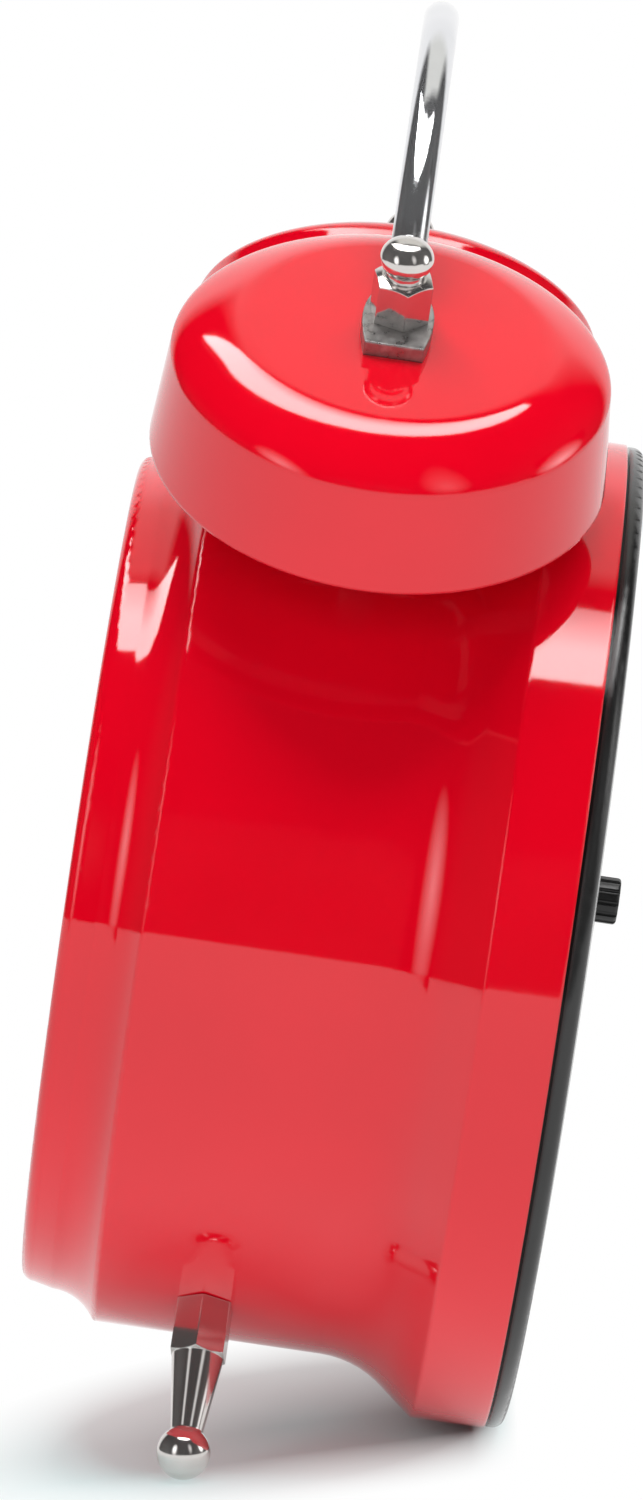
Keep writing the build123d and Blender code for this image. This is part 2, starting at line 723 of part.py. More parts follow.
def handle():
    """Arch of bright rod between the bells, with its ends bent and flattened onto them."""
    radius, height, half_angle = handle_arc()
    section = Plane.XY * Pos(radius, 0) * Circle(ROD_RADIUS)
    arch = revolve(section, Axis.Y, revolution_arc=2 * half_angle)
    arch = Pos(0, BELL_DEPTH, height) * Rot(0, -90 - half_angle, 0) * arch
    for side in (-1, 1):
        arch += handle_lug(side)
        arch += handle_bend(side, radius, height, half_angle)
    return arch


def handle_bend(side, radius, height, half_angle):
    """Loft from the round rod at the end of the arch to the flat lug."""
    angle = radians(BELL_ANGLE)
    middle = bell_top + LUG_THICKNESS / 2
    root = LUG_ROOT - 1.0
    flat_point = (middle * sin(angle) - root * cos(angle), middle * cos(angle) + root * sin(angle))
    arc_angle = radians(half_angle) - BEND_OVERLAP / radius
    arc_point = (radius * sin(arc_angle), height + radius * cos(arc_angle))
    arc_way = (cos(arc_angle), -sin(arc_angle))
    flat_way = (cos(angle), -sin(angle))
    mid_way = (arc_way[0] + flat_way[0], arc_way[1] + flat_way[1])
    reach = hypot(flat_point[0] - arc_point[0], flat_point[1] - arc_point[1]) / 2
    from_arc = (arc_point[0] + arc_way[0] * reach, arc_point[1] + arc_way[1] * reach)
    from_flat = (flat_point[0] - flat_way[0] * reach, flat_point[1] - flat_way[1] * reach)
    mid_point = (
        (from_arc[0] + from_flat[0]) / 2 + BEND_LIFT * sin(angle),
        (from_arc[1] + from_flat[1]) / 2 + BEND_LIFT * cos(angle),
    )
    widths = (ROD_RADIUS - BEND_SEAT, ROD_RADIUS + 0.4, ROD_RADIUS + 1.0)
    depths = (ROD_RADIUS - BEND_SEAT, ROD_RADIUS * 0.64, LUG_THICKNESS / 2 - BEND_SEAT)
    sections = []
    for point, way, width, depth in zip(
        (arc_point, mid_point, flat_point), (arc_way, mid_way, flat_way), widths, depths
    ):
        plane = Plane(
            origin=(side * point[0], BELL_DEPTH, point[1]),
            x_dir=(0, 1, 0),
            z_dir=(side * way[0], 0, way[1]),
        )
        sections.append(plane * Ellipse(width, depth))
    return loft(sections)


def oval_arc(middle, start, end):
    """Arc of the finial ball's oval section between two angles from its equator."""
    pull = 4 / 3 * tan(radians(end - start) / 4)
    knots = []
    for angle, way in ((radians(start), pull), (radians(end), -pull)):
        point = (FINIAL_BALL_RADIUS * cos(angle), middle + FINIAL_BALL_RISE * sin(angle))
        slope = (-FINIAL_BALL_RADIUS * sin(angle) * way, FINIAL_BALL_RISE * cos(angle) * way)
        knots.append((point, (point[0] + slope[0], point[1] + slope[1])))
    return Bezier(knots[0][0], knots[0][1], knots[1][1], knots[1][0])


def flat_ball(low, middle):
    """Neck from a height up into a flattened ball about its middle."""
    neck = FINIAL_NECK_RADIUS
    meet = degrees(acos(neck / FINIAL_BALL_RADIUS))
    joint = middle - FINIAL_BALL_RISE * sin(radians(meet))
    outline = Polyline((0, low), (neck, low), (neck, joint))
    outline += oval_arc(middle, -meet, 0)
    outline += oval_arc(middle, 0, 90)
    outline += Line((0, middle + FINIAL_BALL_RISE), (0, low))
    return turned(outline)


def ball_nut():
    """Finial: hexagon with a chamfered top, neck and flattened ball, bored for the post's stud."""
    hexagon_part = hexagon(FINIAL_FLATS, lug_top, lug_top + FINIAL_HEX_LENGTH, FINIAL_TURN)
    corner = FINIAL_FLATS / sqrt(3)
    top = lug_top + FINIAL_HEX_LENGTH
    cone = Polyline(
        (0, lug_top),
        (corner, lug_top),
        (corner, top - FINIAL_CHAMFER),
        (corner - 2 * FINIAL_CHAMFER, top),
        (0, top),
        close=True,
    )
    piece = hexagon_part & turned(cone)
    piece += flat_ball(top - FINIAL_CHAMFER, lug_top + FINIAL_BALL_HEIGHT)
    return piece - bar(STUD_RADIUS + PRESS_GAP, bell_rim, lug_top + FINIAL_BORE_DEPTH)


def finial(side):
    """Ball nut that clamps the handle's lug and the bell to its post."""
    return at_bell(side) * ball_nut()


def foot(side):
    """Foot: stud, hexagon, taper and ball in one turned piece."""
    seat = WAIST_RADIUS + PRESS_GAP
    hex_end = WAIST_RADIUS + FOOT_HEX_LENGTH
    cone_end = hex_end + FOOT_CONE_LENGTH
    corner = FOOT_FLATS / sqrt(3)
    eased = Polyline(
        (0, seat),
        (corner, seat),
        (corner, hex_end - FOOT_CHAMFER),
        (corner - 2 * FOOT_CHAMFER, hex_end),
        (0, hex_end),
        close=True,
    )
    piece = hexagon(FOOT_FLATS, seat, hex_end, FOOT_TURN) & turned(eased)
    cone = Polyline(
        (0, hex_end),
        (FOOT_CONE_RADIUS, hex_end),
        (FOOT_NECK_RADIUS, cone_end),
        (FOOT_NECK_RADIUS, cone_end + FOOT_BALL_OFFSET),
        (0, cone_end + FOOT_BALL_OFFSET),
        close=True,
    )
    piece += turned(cone)
    piece += Pos(0, 0, cone_end + FOOT_BALL_OFFSET) * Sphere(FOOT_BALL_RADIUS)
    piece += bar(STUD_RADIUS, stud_end(), seat)
    return at_foot(side) * piece


def striker_bracket():
    """Bent sheet bracket: flange on the carrier, floor, pivot cheeks and ears for the cores."""
    floor = bracket_floor
    front_cheek = BELL_DEPTH - BRACKET_CHEEK_GAP
    back_cheek = BELL_DEPTH + BRACKET_CHEEK_GAP
    back = back_cheek + BRACKET_SHEET
    flange_half = BRACKET_FLANGE_WIDTH / 2
    bracket = box((-flange_half, movement_front, floor), (flange_half, back, floor + BRACKET_SHEET))
    bracket += box(
        (-flange_half, movement_front, floor),
        (flange_half, movement_front + BRACKET_SHEET, floor + BRACKET_SHEET + BRACKET_FLANGE_HEIGHT),
    )
    ear = BRACKET_HALF_WIDTH
    top = armature_height + COIL_FLANGE_RADIUS
    bracket += box((-ear, front_cheek, floor), (ear, back, floor + BRACKET_SHEET))
    for side in (-1, 1):
        low = min(side * ear, side * (ear - BRACKET_SHEET))
        bracket += box((low, front_cheek, floor), (low + BRACKET_SHEET, back, top))
        core = Cylinder(CORE_RADIUS + COIL_CLEARANCE, 4 * BRACKET_SHEET, rotation=(0, 90, 0))
        bracket -= Pos(side * ear, BELL_DEPTH, armature_height) * core
    for front in (front_cheek, back_cheek):
        cheek = Pos(0, (floor + pivot_height) / 2) * Rectangle(BRACKET_CHEEK_WIDTH, pivot_height - floor)
        cheek += Pos(0, pivot_height) * Circle(BRACKET_CHEEK_WIDTH / 2)
        cheek -= Pos(0, pivot_height) * Circle(PIVOT_RADIUS + PRESS_GAP)
        bracket += slab(cheek, front, front + BRACKET_SHEET)
    for side in (-1, 1):
        place = (side * BRACKET_SCREW_SPREAD, bracket_screw_height)
        screw_hole = SCREW_RADIUS + SCREW_CLEARANCE
        bracket -= disc(place, screw_hole, movement_front, movement_front + BRACKET_SHEET)
    return bracket


def bracket_screws():
    """Short screws that hold the striker bracket to the carrier."""
    screws = []
    for side in (-1, 1):
        place = (side * BRACKET_SCREW_SPREAD, bracket_screw_height)
        seat = movement_front + BRACKET_SHEET
        head = disc(place, SCREW_HEAD_RADIUS, seat, seat + SCREW_HEAD_HEIGHT)
        screws.append(head + disc(place, SCREW_RADIUS - PRESS_GAP, carrier_front, seat))
    return screws


def core_inner():
    """Distance of a core's pole face from the middle, clear of the armature's swing."""
    return ARMATURE_SIZE / 2 + ARMATURE_SWING


def striker_cores():
    """Iron cores riveted into the bracket's ears, their poles on both sides of the armature."""
    outer = BRACKET_HALF_WIDTH + BRACKET_SHEET
    cores = []
    for side in (-1, 1):
        core = bar(CORE_RADIUS, core_inner(), outer)
        cores.append(Pos(0, BELL_DEPTH, armature_height) * Rot(0, side * 90, 0) * core)
    return cores


def striker_coils():
    """Wound spools on the cores."""
    outer = BRACKET_HALF_WIDTH - BRACKET_SHEET - RUNNING_CLEARANCE
    inner = outer - COIL_LENGTH
    coils = []
    for side in (-1, 1):
        coil = bar(COIL_RADIUS, inner, outer)
        coil += bar(COIL_FLANGE_RADIUS, inner, inner + COIL_FLANGE)
        coil += bar(COIL_FLANGE_RADIUS, outer - COIL_FLANGE, outer)
        coil -= bar(CORE_RADIUS + COIL_CLEARANCE, 0, outer + COIL_FLANGE)
        coils.append(Pos(0, BELL_DEPTH, armature_height) * Rot(0, side * 90, 0) * coil)
    return coils


def hammer_lever():
    """Lever with pivot hub, armature block below and round arm up through the drum's slot."""
    hub_half = LEVER_HUB_LENGTH / 2
    lever = disc((0, pivot_height), LEVER_HUB_RADIUS, BELL_DEPTH - hub_half, BELL_DEPTH + hub_half)
    lever += Pos(0, BELL_DEPTH, 0) * bar(LEVER_RADIUS, armature_height, strike_height)
    lever += box(
        (-ARMATURE_SIZE / 2, BELL_DEPTH - ARMATURE_WIDTH / 2, armature_height - ARMATURE_SIZE),
        (ARMATURE_SIZE / 2, BELL_DEPTH + ARMATURE_WIDTH / 2, armature_height + ARMATURE_SIZE),
    )
    return lever - disc((0, pivot_height), PIVOT_RADIUS + RUNNING_CLEARANCE, 0, CASE_DEPTH)


def hammer_head():
    """Turned head between the bells, with crowned striking faces."""
    half = HEAD_LENGTH / 2
    crown_radius = (HEAD_RADIUS**2 + HEAD_CROWN**2) / (2 * HEAD_CROWN)
    head = bar(HEAD_RADIUS, -half, half)
    for side in (-1, 1):
        head &= Pos(0, 0, side * (half - crown_radius)) * Sphere(crown_radius) + bar(
            HEAD_RADIUS * 2, min(0, -side * HEAD_LENGTH), max(0, -side * HEAD_LENGTH)
        )
    head = Pos(0, BELL_DEPTH, strike_height) * Rot(0, 90, 0) * head
    return head - Pos(0, BELL_DEPTH, 0) * bar(LEVER_RADIUS + PRESS_GAP, pivot_height, strike_height)


def hammer_pin():
    """Pivot pin through the bracket's cheeks, headed at both ends."""
    reach = BRACKET_CHEEK_GAP + BRACKET_SHEET
    pin = disc((0, pivot_height), PIVOT_RADIUS, BELL_DEPTH - reach, BELL_DEPTH + reach)
    front = BELL_DEPTH - BRACKET_CHEEK_GAP
    back = BELL_DEPTH + reach
    pin += disc((0, pivot_height), PIN_HEAD_RADIUS, back, back + PIN_HEAD_HEIGHT)
    return pin + disc((0, pivot_height), PIN_HEAD_RADIUS, front - PIN_HEAD_HEIGHT, front)


def gear(teeth, module, turn, place, front, thickness):
    """Stub-toothed wheel at a depth, with one tooth centred on the bearing turn."""
    tip = module * (teeth / 2 + TOOTH_ADDENDUM)
    root = module * (teeth / 2 - TOOTH_DEDENDUM)
    half_tooth = 90.0 / teeth * (1 - TOOTH_BACKLASH)
    points = []
    for tooth in range(teeth):
        middle = turn + 360.0 * tooth / teeth
        for radius, spread in ((root, -1.5), (tip, -0.5), (tip, 0.5), (root, 1.5)):
            points.append(polar(radius, middle + spread * half_tooth))
    outline = make_face(Polyline(*points, close=True))
    return slab(Pos(place[0], place[1]) * outline, front, front + thickness)


def wheel(teeth, module, turn, place, level):
    """Wheel on its level."""
    return gear(teeth, module, turn, place, level, WHEEL_THICKNESS)


def pinion(teeth, module, turn, place, level):
    """Pinion, a little longer than the wheel that it meets."""
    return gear(teeth, module, turn, place, level - PINION_OVERHANG, WHEEL_THICKNESS + 2 * PINION_OVERHANG)


def module_of(distance, first, second):
    """Module of two wheels that mesh at a centre distance."""
    return 2 * distance / (first + second)


def in_mesh(turn, teeth, other_teeth, bearing):
    """Turn of the wheel at a bearing whose gap takes the first wheel's tooth."""
    return bearing + 180 - (turn - bearing) * teeth / other_teeth + 180.0 / other_teeth


def arbor(place, radius, front, back):
    """Arbor with thin pivots running in both plates of the movement."""
    piece = disc(place, radius, front, back)
    return piece + disc(place, PIVOT_PIN_RADIUS, plate_back - PIVOT_PIN_DEPTH, back_plate + PIVOT_PIN_DEPTH)


def pivot_hole(place, plate):
    """Blind pivot hole in a plate of the movement."""
    depth = PIVOT_PIN_DEPTH + RUNNING_CLEARANCE
    return disc(place, PIVOT_PIN_RADIUS + RUNNING_CLEARANCE, plate - depth, plate + depth)


def movement_cup():
    """Front half of the movement: plate, walls and the bush that passes through the dial."""
    square = fillet(Rectangle(MOVEMENT_SIZE, MOVEMENT_SIZE).vertices(), MOVEMENT_CORNER)
    inside = MOVEMENT_SIZE - 2 * MOVEMENT_WALL
    hollow = fillet(Rectangle(inside, inside).vertices(), MOVEMENT_CORNER - MOVEMENT_WALL)
    cup = slab(square, movement_front, back_plate) - slab(hollow, plate_back, back_plate)
    cup += disc(centre, BUSH_RADIUS, dial_front - FIXING_NUT_HEIGHT, movement_front)
    cup -= disc(centre, bush_bore, 0, plate_back)
    for place in (motion_centre, alarm_centre, third_centre, step_centre, rotor_centre):
        cup -= pivot_hole(place, plate_back)
    for side in (-1, 1):
        cup += stator_stand(side)
    cup += board_ledge()
    return cup


def stator_level():
    """Depth of the stator plate's front face."""
    return third_level


def stator_stand(side):
    """Post in the movement that the stator's leg and coil core rest on."""
    x = rotor_centre[0] + side * STATOR_SPREAD
    return disc((x, stator_top - STATOR_ARM / 2), STATOR_ARM / 2 - 0.5, plate_back, stator_level())


def board_ledge():
    """Ledge along the bottom wall that the circuit board rests on."""
    half = board_width / 2
    low = board_bottom - MOVEMENT_WALL
    return box((-half, plate_back, low), (half, board_front(), board_bottom + MOVEMENT_WALL))


def board_front():
    """Depth of the circuit board's front face."""
    return step_level - BOARD_THICKNESS


def movement_lid():
    """Rear plate of the movement with pivot holes and openings for the setting stems."""
    square = fillet(Rectangle(MOVEMENT_SIZE, MOVEMENT_SIZE).vertices(), MOVEMENT_CORNER)
    lid = slab(square, back_plate, movement_back)
    for place in (centre, third_centre, step_centre, rotor_centre):
        lid -= pivot_hole(place, back_plate)
    for place in (motion_centre, alarm_centre):
        lid -= disc(place, ARBOR_RADIUS + RUNNING_CLEARANCE, back_plate, movement_back)
    return lid


def fixing_nut():
    """Nut on the movement's bush, in front of the dial."""
    nut = RegularPolygon(FIXING_NUT_FLATS / 2, 6, major_radius=False) - Circle(BUSH_RADIUS + PRESS_GAP)
    return slab(nut, dial_front - FIXING_NUT_HEIGHT, dial_front)


motion_module = module_of(MOTION_DISTANCE, CANNON_TEETH, MOTION_TEETH)
hour_module = module_of(MOTION_DISTANCE, MOTION_PINION_TEETH, HOUR_TEETH)
alarm_module = module_of(ALARM_DISTANCE, ALARM_TEETH, ALARM_SET_TEETH)
third_module = module_of(TRAIN_DISTANCE, SECOND_PINION_TEETH, THIRD_TEETH)
centre_module = module_of(TRAIN_DISTANCE, THIRD_PINION_TEETH, CENTRE_TEETH)
step_module = module_of(STEP_DISTANCE, STEP_PINION_TEETH, SECOND_TEETH)
rotor_module = module_of(ROTOR_DISTANCE, ROTOR_TEETH, STEP_TEETH)


def minute_arbor():
    """Minute tube with its cannon pinion."""
    piece = pinion(CANNON_TEETH, motion_module, MOTION_BEARING, centre, motion_level)
    piece += disc(centre, minute_radius, minute_hand_back - HAND_THICKNESS, centre_level + WHEEL_THICKNESS)
    return piece - disc(centre, minute_bore, 0, back_plate)


def motion_wheel():
    """Motion wheel and pinion on the arbor that the time stem turns."""
    turn = in_mesh(MOTION_BEARING, CANNON_TEETH, MOTION_TEETH, MOTION_BEARING)
    piece = wheel(MOTION_TEETH, motion_module, turn, motion_centre, motion_level)
    piece += pinion(MOTION_PINION_TEETH, hour_module, MOTION_BEARING + 180, motion_centre, hour_level)
    piece += disc(motion_centre, ARBOR_RADIUS, hour_level - PINION_OVERHANG, movement_back + STEM_SOCKET)
    return piece + disc(motion_centre, PIVOT_PIN_RADIUS, plate_back - PIVOT_PIN_DEPTH, hour_level)


def hour_wheel():
    """Hour wheel on its tube."""
    back = MOTION_BEARING + 180
    turn = in_mesh(back, MOTION_PINION_TEETH, HOUR_TEETH, back)
    piece = wheel(HOUR_TEETH, hour_module, turn, centre, hour_level)
    piece += disc(centre, hour_radius, hour_hand_back - HAND_THICKNESS, hour_level)
    return piece - disc(centre, hour_bore, 0, back_plate)


def alarm_wheel():
    """Alarm wheel on the outermost tube."""
    piece = wheel(ALARM_TEETH, alarm_module, ALARM_BEARING, centre, alarm_level)
    piece += disc(centre, alarm_radius, alarm_hand_back - HAND_THICKNESS, alarm_level)
    return piece - disc(centre, alarm_bore, 0, back_plate)


def alarm_setting_wheel():
    """Wheel of the alarm stem."""
    turn = in_mesh(ALARM_BEARING, ALARM_TEETH, ALARM_SET_TEETH, ALARM_BEARING)
    piece = wheel(ALARM_SET_TEETH, alarm_module, turn, alarm_centre, alarm_level)
    piece += disc(alarm_centre, ARBOR_RADIUS, alarm_level, movement_back + STEM_SOCKET)
    return piece + disc(alarm_centre, PIVOT_PIN_RADIUS, plate_back - PIVOT_PIN_DEPTH, alarm_level)


def second_wheel():
    """Second wheel and pinion on the arbor that carries the second hand."""
    piece = pinion(SECOND_PINION_TEETH, third_module, TRAIN_BEARING, centre, third_level)
    piece += wheel(SECOND_TEETH, step_module, STEP_BEARING, centre, second_level)
    piece += disc(centre, SECOND_ARBOR_RADIUS, second_hand_back - HAND_THICKNESS, back_plate - END_SHAKE)
    return piece + disc(centre, PIVOT_PIN_RADIUS, second_level, back_plate + PIVOT_PIN_DEPTH)


def third_wheel():
    """Third wheel and pinion between the second pinion and the centre wheel."""
    turn = in_mesh(TRAIN_BEARING, SECOND_PINION_TEETH, THIRD_TEETH, TRAIN_BEARING)
    piece = wheel(THIRD_TEETH, third_module, turn, third_centre, third_level)
    piece += pinion(THIRD_PINION_TEETH, centre_module, TRAIN_BEARING + 180, third_centre, centre_level)
    return piece + arbor(third_centre, ARBOR_RADIUS, centre_level, third_level)


def centre_wheel():
    """Centre wheel, which grips the minute tube through its friction clutch."""
    back = TRAIN_BEARING + 180
    turn = in_mesh(back, THIRD_PINION_TEETH, CENTRE_TEETH, back)
    piece = wheel(CENTRE_TEETH, centre_module, turn, centre, centre_level)
    return piece - disc(centre, minute_radius + RUNNING_CLEARANCE, 0, back_plate)


def step_wheel():
    """Step wheel and pinion between the rotor and the second wheel."""
    turn = in_mesh(STEP_BEARING, SECOND_TEETH, STEP_PINION_TEETH, STEP_BEARING)
    piece = pinion(STEP_PINION_TEETH, step_module, turn, step_centre, second_level)
    piece += wheel(STEP_TEETH, rotor_module, ROTOR_BEARING, step_centre, step_level)
    return piece + arbor(step_centre, ARBOR_RADIUS, second_level, step_level)


def rotor():
    """Rotor: magnet and pinion on a thin arbor."""
    turn = in_mesh(ROTOR_BEARING, STEP_TEETH, ROTOR_TEETH, ROTOR_BEARING)
    middle = stator_level() + STATOR_THICKNESS / 2
    piece = pinion(ROTOR_TEETH, rotor_module, turn, rotor_centre, step_level)
    piece += disc(rotor_centre, MAGNET_RADIUS, middle - MAGNET_LENGTH / 2, middle + MAGNET_LENGTH / 2)
    return piece + arbor(rotor_centre, PIVOT_PIN_RADIUS, second_level, step_level)


def stator():
    """Stator plate: a ring round the magnet with two legs up to the coil core."""
    x, z = rotor_centre
    ring = MAGNET_RADIUS + STATOR_GAP + STATOR_RING
    plate = Pos(x, z) * Circle(ring)
    plate += Pos(x, z) * Rectangle(2 * STATOR_SPREAD + STATOR_ARM, STATOR_ARM)
    for side in (-1, 1):
        leg = Rectangle(STATOR_ARM, stator_top - z + STATOR_ARM / 2)
        plate += Pos(x + side * STATOR_SPREAD, (stator_top + z - STATOR_ARM / 2) / 2) * leg
    plate -= Pos(x, z) * Circle(MAGNET_RADIUS + STATOR_GAP)
    return slab(plate, stator_level(), stator_level() + STATOR_THICKNESS)


def coil_core():
    """Flat core across the stator's legs, through the motor coil."""
    half = STATOR_SPREAD + STATOR_ARM / 2
    middle = stator_top - STATOR_ARM / 2
    front = stator_level() + STATOR_THICKNESS
    return box(
        (rotor_centre[0] - half, front, middle - MOTOR_CORE_WIDTH / 2),
        (rotor_centre[0] + half, front + STATOR_THICKNESS, middle + MOTOR_CORE_WIDTH / 2),
    )


def motor_coil():
    """Winding round the flat core, between the stator's legs."""
    half = STATOR_SPREAD - STATOR_ARM / 2 - COIL_CLEARANCE
    middle = stator_top - STATOR_ARM / 2
    depth = stator_level() + 1.5 * STATOR_THICKNESS
    coil = Pos(rotor_centre[0], depth, middle) * Cylinder(MOTOR_COIL_RADIUS, 2 * half, rotation=(0, 90, 0))
    core_half = MOTOR_CORE_WIDTH / 2 + COIL_CLEARANCE
    thick_half = STATOR_THICKNESS / 2 + COIL_CLEARANCE
    return coil - box(
        (rotor_centre[0] - 2 * half, depth - thick_half, middle - core_half),
        (rotor_centre[0] + 2 * half, depth + thick_half, middle + core_half),
    )


def circuit_board():
    """Circuit board on the ledge of the movement."""
    half = board_width / 2
    front = board_front()
    return box((-half, front, board_bottom), (half, front + BOARD_THICKNESS, board_top))


def quartz_crystal():
    """Quartz can lying on the circuit board."""
    middle = (board_bottom + board_top) / 2
    depth = board_front() - CRYSTAL_RADIUS - PRESS_GAP
    can = Cylinder(CRYSTAL_RADIUS, CRYSTAL_LENGTH, rotation=(0, 90, 0))
    return Pos(board_width / 4, depth, middle) * can


def setting_stem(place, standoff, length):
    """Stem from the movement to its knob behind the rear cover."""
    start = movement_back + STEM_GAP
    stem = disc(place, STEM_RADIUS, start, cover_face + standoff + length - KNOB_TIP_THICKNESS)
    return stem - disc(place, ARBOR_RADIUS + PRESS_GAP, start, movement_back + STEM_SOCKET + STEM_GAP)


def setting_knob(place, standoff, length):
    """Knob with a fluted edge and a collar next to the cover, pressed on its stem."""
    front = cover_face + standoff
    back = front + length
    knob = disc(place, KNOB_RADIUS, front + KNOB_COLLAR_LENGTH, back)
    knob = fillet(knob.edges().sort_by(Axis.Y)[-1], KNOB_ROUND)
    for k in range(KNOB_GROOVES):
        spot = polar(KNOB_RADIUS, 360.0 * k / KNOB_GROOVES)
        knob -= disc((place[0] + spot[0], place[1] + spot[1]), KNOB_GROOVE_RADIUS, front, back)
    knob += disc(place, KNOB_COLLAR_RADIUS, front, front + KNOB_COLLAR_LENGTH)
    return knob - disc(place, STEM_RADIUS + PRESS_GAP, front, back - KNOB_TIP_THICKNESS)


def alarm_switch():
    """Slide switch thumb: a rounded cap outside and a stem through the cover's slot."""
    half = SWITCH_THUMB_WIDTH / 2
    rise = SWITCH_THUMB_HEIGHT / 2
    seat = cover_face + SWITCH_CLEARANCE
    cap = Pos(0, SWITCH_HEIGHT) * SlotOverall(SWITCH_THUMB_HEIGHT, SWITCH_THUMB_WIDTH, rotation=90)
    thumb = slab(cap, seat, cover_face + SWITCH_THUMB_STAND)
    thumb = fillet(thumb.edges().sort_by(Axis.Y)[-4:], SWITCH_THUMB_ROUND)
    stem_rise = SWITCH_STEM_HEIGHT / 2
    stem = box(
        (-half, cover_front - SWITCH_CLEARANCE, SWITCH_HEIGHT - stem_rise),
        (half, seat, SWITCH_HEIGHT + stem_rise),
    )
    return thumb + stem


def switch_body():
    """Switch case on the inside of the rear cover, behind the thumb's slot."""
    middle = SWITCH_TRAVEL / 2
    half = SWITCH_BODY_WIDTH / 2
    rise = SWITCH_BODY_HEIGHT / 2
    body = box(
        (middle - half, cover_front - SWITCH_BODY_DEPTH, SWITCH_HEIGHT - rise),
        (middle + half, cover_front, SWITCH_HEIGHT + rise),
    )
    slot_half = SWITCH_THUMB_WIDTH / 2 + SWITCH_CLEARANCE
    slot_rise = SWITCH_STEM_HEIGHT / 2 + SWITCH_CLEARANCE
    return body - box(
        (-slot_half, cover_front - 2 * SWITCH_CLEARANCE, SWITCH_HEIGHT - slot_rise),
        (slot_half + SWITCH_TRAVEL, cover_front, SWITCH_HEIGHT + slot_rise),
    )


def hand(tube_radius, length, width, angle, back, tail=0.0):
    """Clock hand: hub on its tube and a blade that tapers to the tip."""
    hub = tube_radius + HAND_HUB_WALL
    half = width / 2
    blade = Polygon(
        (-half * 0.5, -tail),
        (half * 0.5, -tail),
        (half, length * 0.62),
        (0, length),
        (-half, length * 0.62),
        align=None,
    )
    outline = Circle(hub) + blade - Circle(tube_radius + PRESS_GAP)
    return slab(Rot(0, 0, -angle) * outline, back - HAND_THICKNESS, back)


def hour_hand():
    return hand(hour_radius, hour_hand_length, HOUR_HAND_WIDTH, HOUR_HAND_ANGLE, hour_hand_back)


def minute_hand():
    return hand(minute_radius, minute_hand_length, MINUTE_HAND_WIDTH, MINUTE_HAND_ANGLE, minute_hand_back)


def second_hand():
    return hand(
        SECOND_ARBOR_RADIUS, second_hand_length, SECOND_HAND_WIDTH, SECOND_HAND_ANGLE, second_hand_back,
        SECOND_HAND_TAIL,
    )


def alarm_hand():
    return hand(alarm_radius, alarm_hand_length, ALARM_HAND_WIDTH, ALARM_HAND_ANGLE, alarm_hand_back)


def pieces():
    """Every node of the clock in the drum's frame, by name."""
    return {
        "drum": drum(),
        "glass_gasket": glass_gasket(),
        "front_glass": front_glass(),
        "dial_ring": dial_ring(),
        "dial_plate": dial_plate(),
        "dial_carrier": dial_carrier(),
        "rear_cover": rear_cover(),
        "cover_screws": cover_screws(),
        "battery_door": battery_door(),
        "battery_cells": battery_cells(),
        "battery_contacts": battery_contacts(),
        "bell_right": bell(1),
        "bell_left": bell(-1),
        "bell_post_right": bell_post(1),
        "bell_post_left": bell_post(-1),
        "post_nuts": post_nuts(),
        "handle": handle(),
        "finial_right": finial(1),
        "finial_left": finial(-1),
        "foot_right": foot(1),
        "foot_left": foot(-1),
        "foot_nuts": foot_nuts(),
        "striker_bracket": striker_bracket(),
        "bracket_screws": bracket_screws(),
        "striker_cores": striker_cores(),
        "striker_coils": striker_coils(),
        "hammer_lever": hammer_lever(),
        "hammer_head": hammer_head(),
        "hammer_pin": hammer_pin(),
        "movement_cup": movement_cup(),
        "movement_lid": movement_lid(),
        "fixing_nut": fixing_nut(),
        "minute_arbor": minute_arbor(),
        "motion_wheel": motion_wheel(),
        "hour_wheel": hour_wheel(),
        "alarm_wheel": alarm_wheel(),
        "alarm_setting_wheel": alarm_setting_wheel(),
        "second_wheel": second_wheel(),
        "third_wheel": third_wheel(),
        "centre_wheel": centre_wheel(),
        "step_wheel": step_wheel(),
        "rotor": rotor(),
        "stator": stator(),
        "coil_core": coil_core(),
        "motor_coil": motor_coil(),
        "circuit_board": circuit_board(),
        "quartz_crystal": quartz_crystal(),
        "time_stem": setting_stem(motion_centre, TIME_KNOB_STANDOFF, TIME_KNOB_LENGTH),
        "alarm_stem": setting_stem(alarm_centre, ALARM_KNOB_STANDOFF, ALARM_KNOB_LENGTH),
        "time_knob": setting_knob(motion_centre, TIME_KNOB_STANDOFF, TIME_KNOB_LENGTH),
        "alarm_knob": setting_knob(alarm_centre, ALARM_KNOB_STANDOFF, ALARM_KNOB_LENGTH),
        "alarm_switch": alarm_switch(),
        "switch_body": switch_body(),
        "hour_hand": hour_hand(),
        "minute_hand": minute_hand(),
        "second_hand": second_hand(),
        "alarm_hand": alarm_hand(),
    }


def stand(shapes):
    """Placement that leans the clock onto its feet and centres it over the origin of the floor."""
    lean = Rot(-LEAN, 0, 0)
    boxes = [(lean * shape).bounding_box() for shape in shapes]
    front = min(b.min.Y for b in boxes)
    back = max(b.max.Y for b in boxes)
    foot_depth = FOOT_DEPTH * sin(radians(LEAN))
    foot_drop = foot_ball * cos(radians(FOOT_ANGLE)) * cos(radians(LEAN))
    return Pos(0, -(front + back) / 2, foot_depth + foot_drop + FOOT_BALL_RADIUS) * lean


def build():
    """Standing clock: node names with their lists of solids, and the placement that stood them up."""
    nodes = {}
    for name, made in pieces().items():
        nodes[name] = made if isinstance(made, list) else [made]
    place = stand([shape for shapes in nodes.values() for shape in shapes])
    return {name: [place * shape for shape in shapes] for name, shapes in nodes.items()}, place


def main():
    os.makedirs("parts", exist_ok=True)
    nodes, place = build()
    for name, shapes in nodes.items():
        export_step(shapes[0] if len(shapes) == 1 else Compound(children=shapes), f"parts/{name}.step")
    print(f"{len(nodes)} nodes, leaning back {LEAN:.2f} degrees")


if __name__ == "__main__":
    main()
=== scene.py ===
import json
import math

import bpy
from mathutils import Matrix, Vector


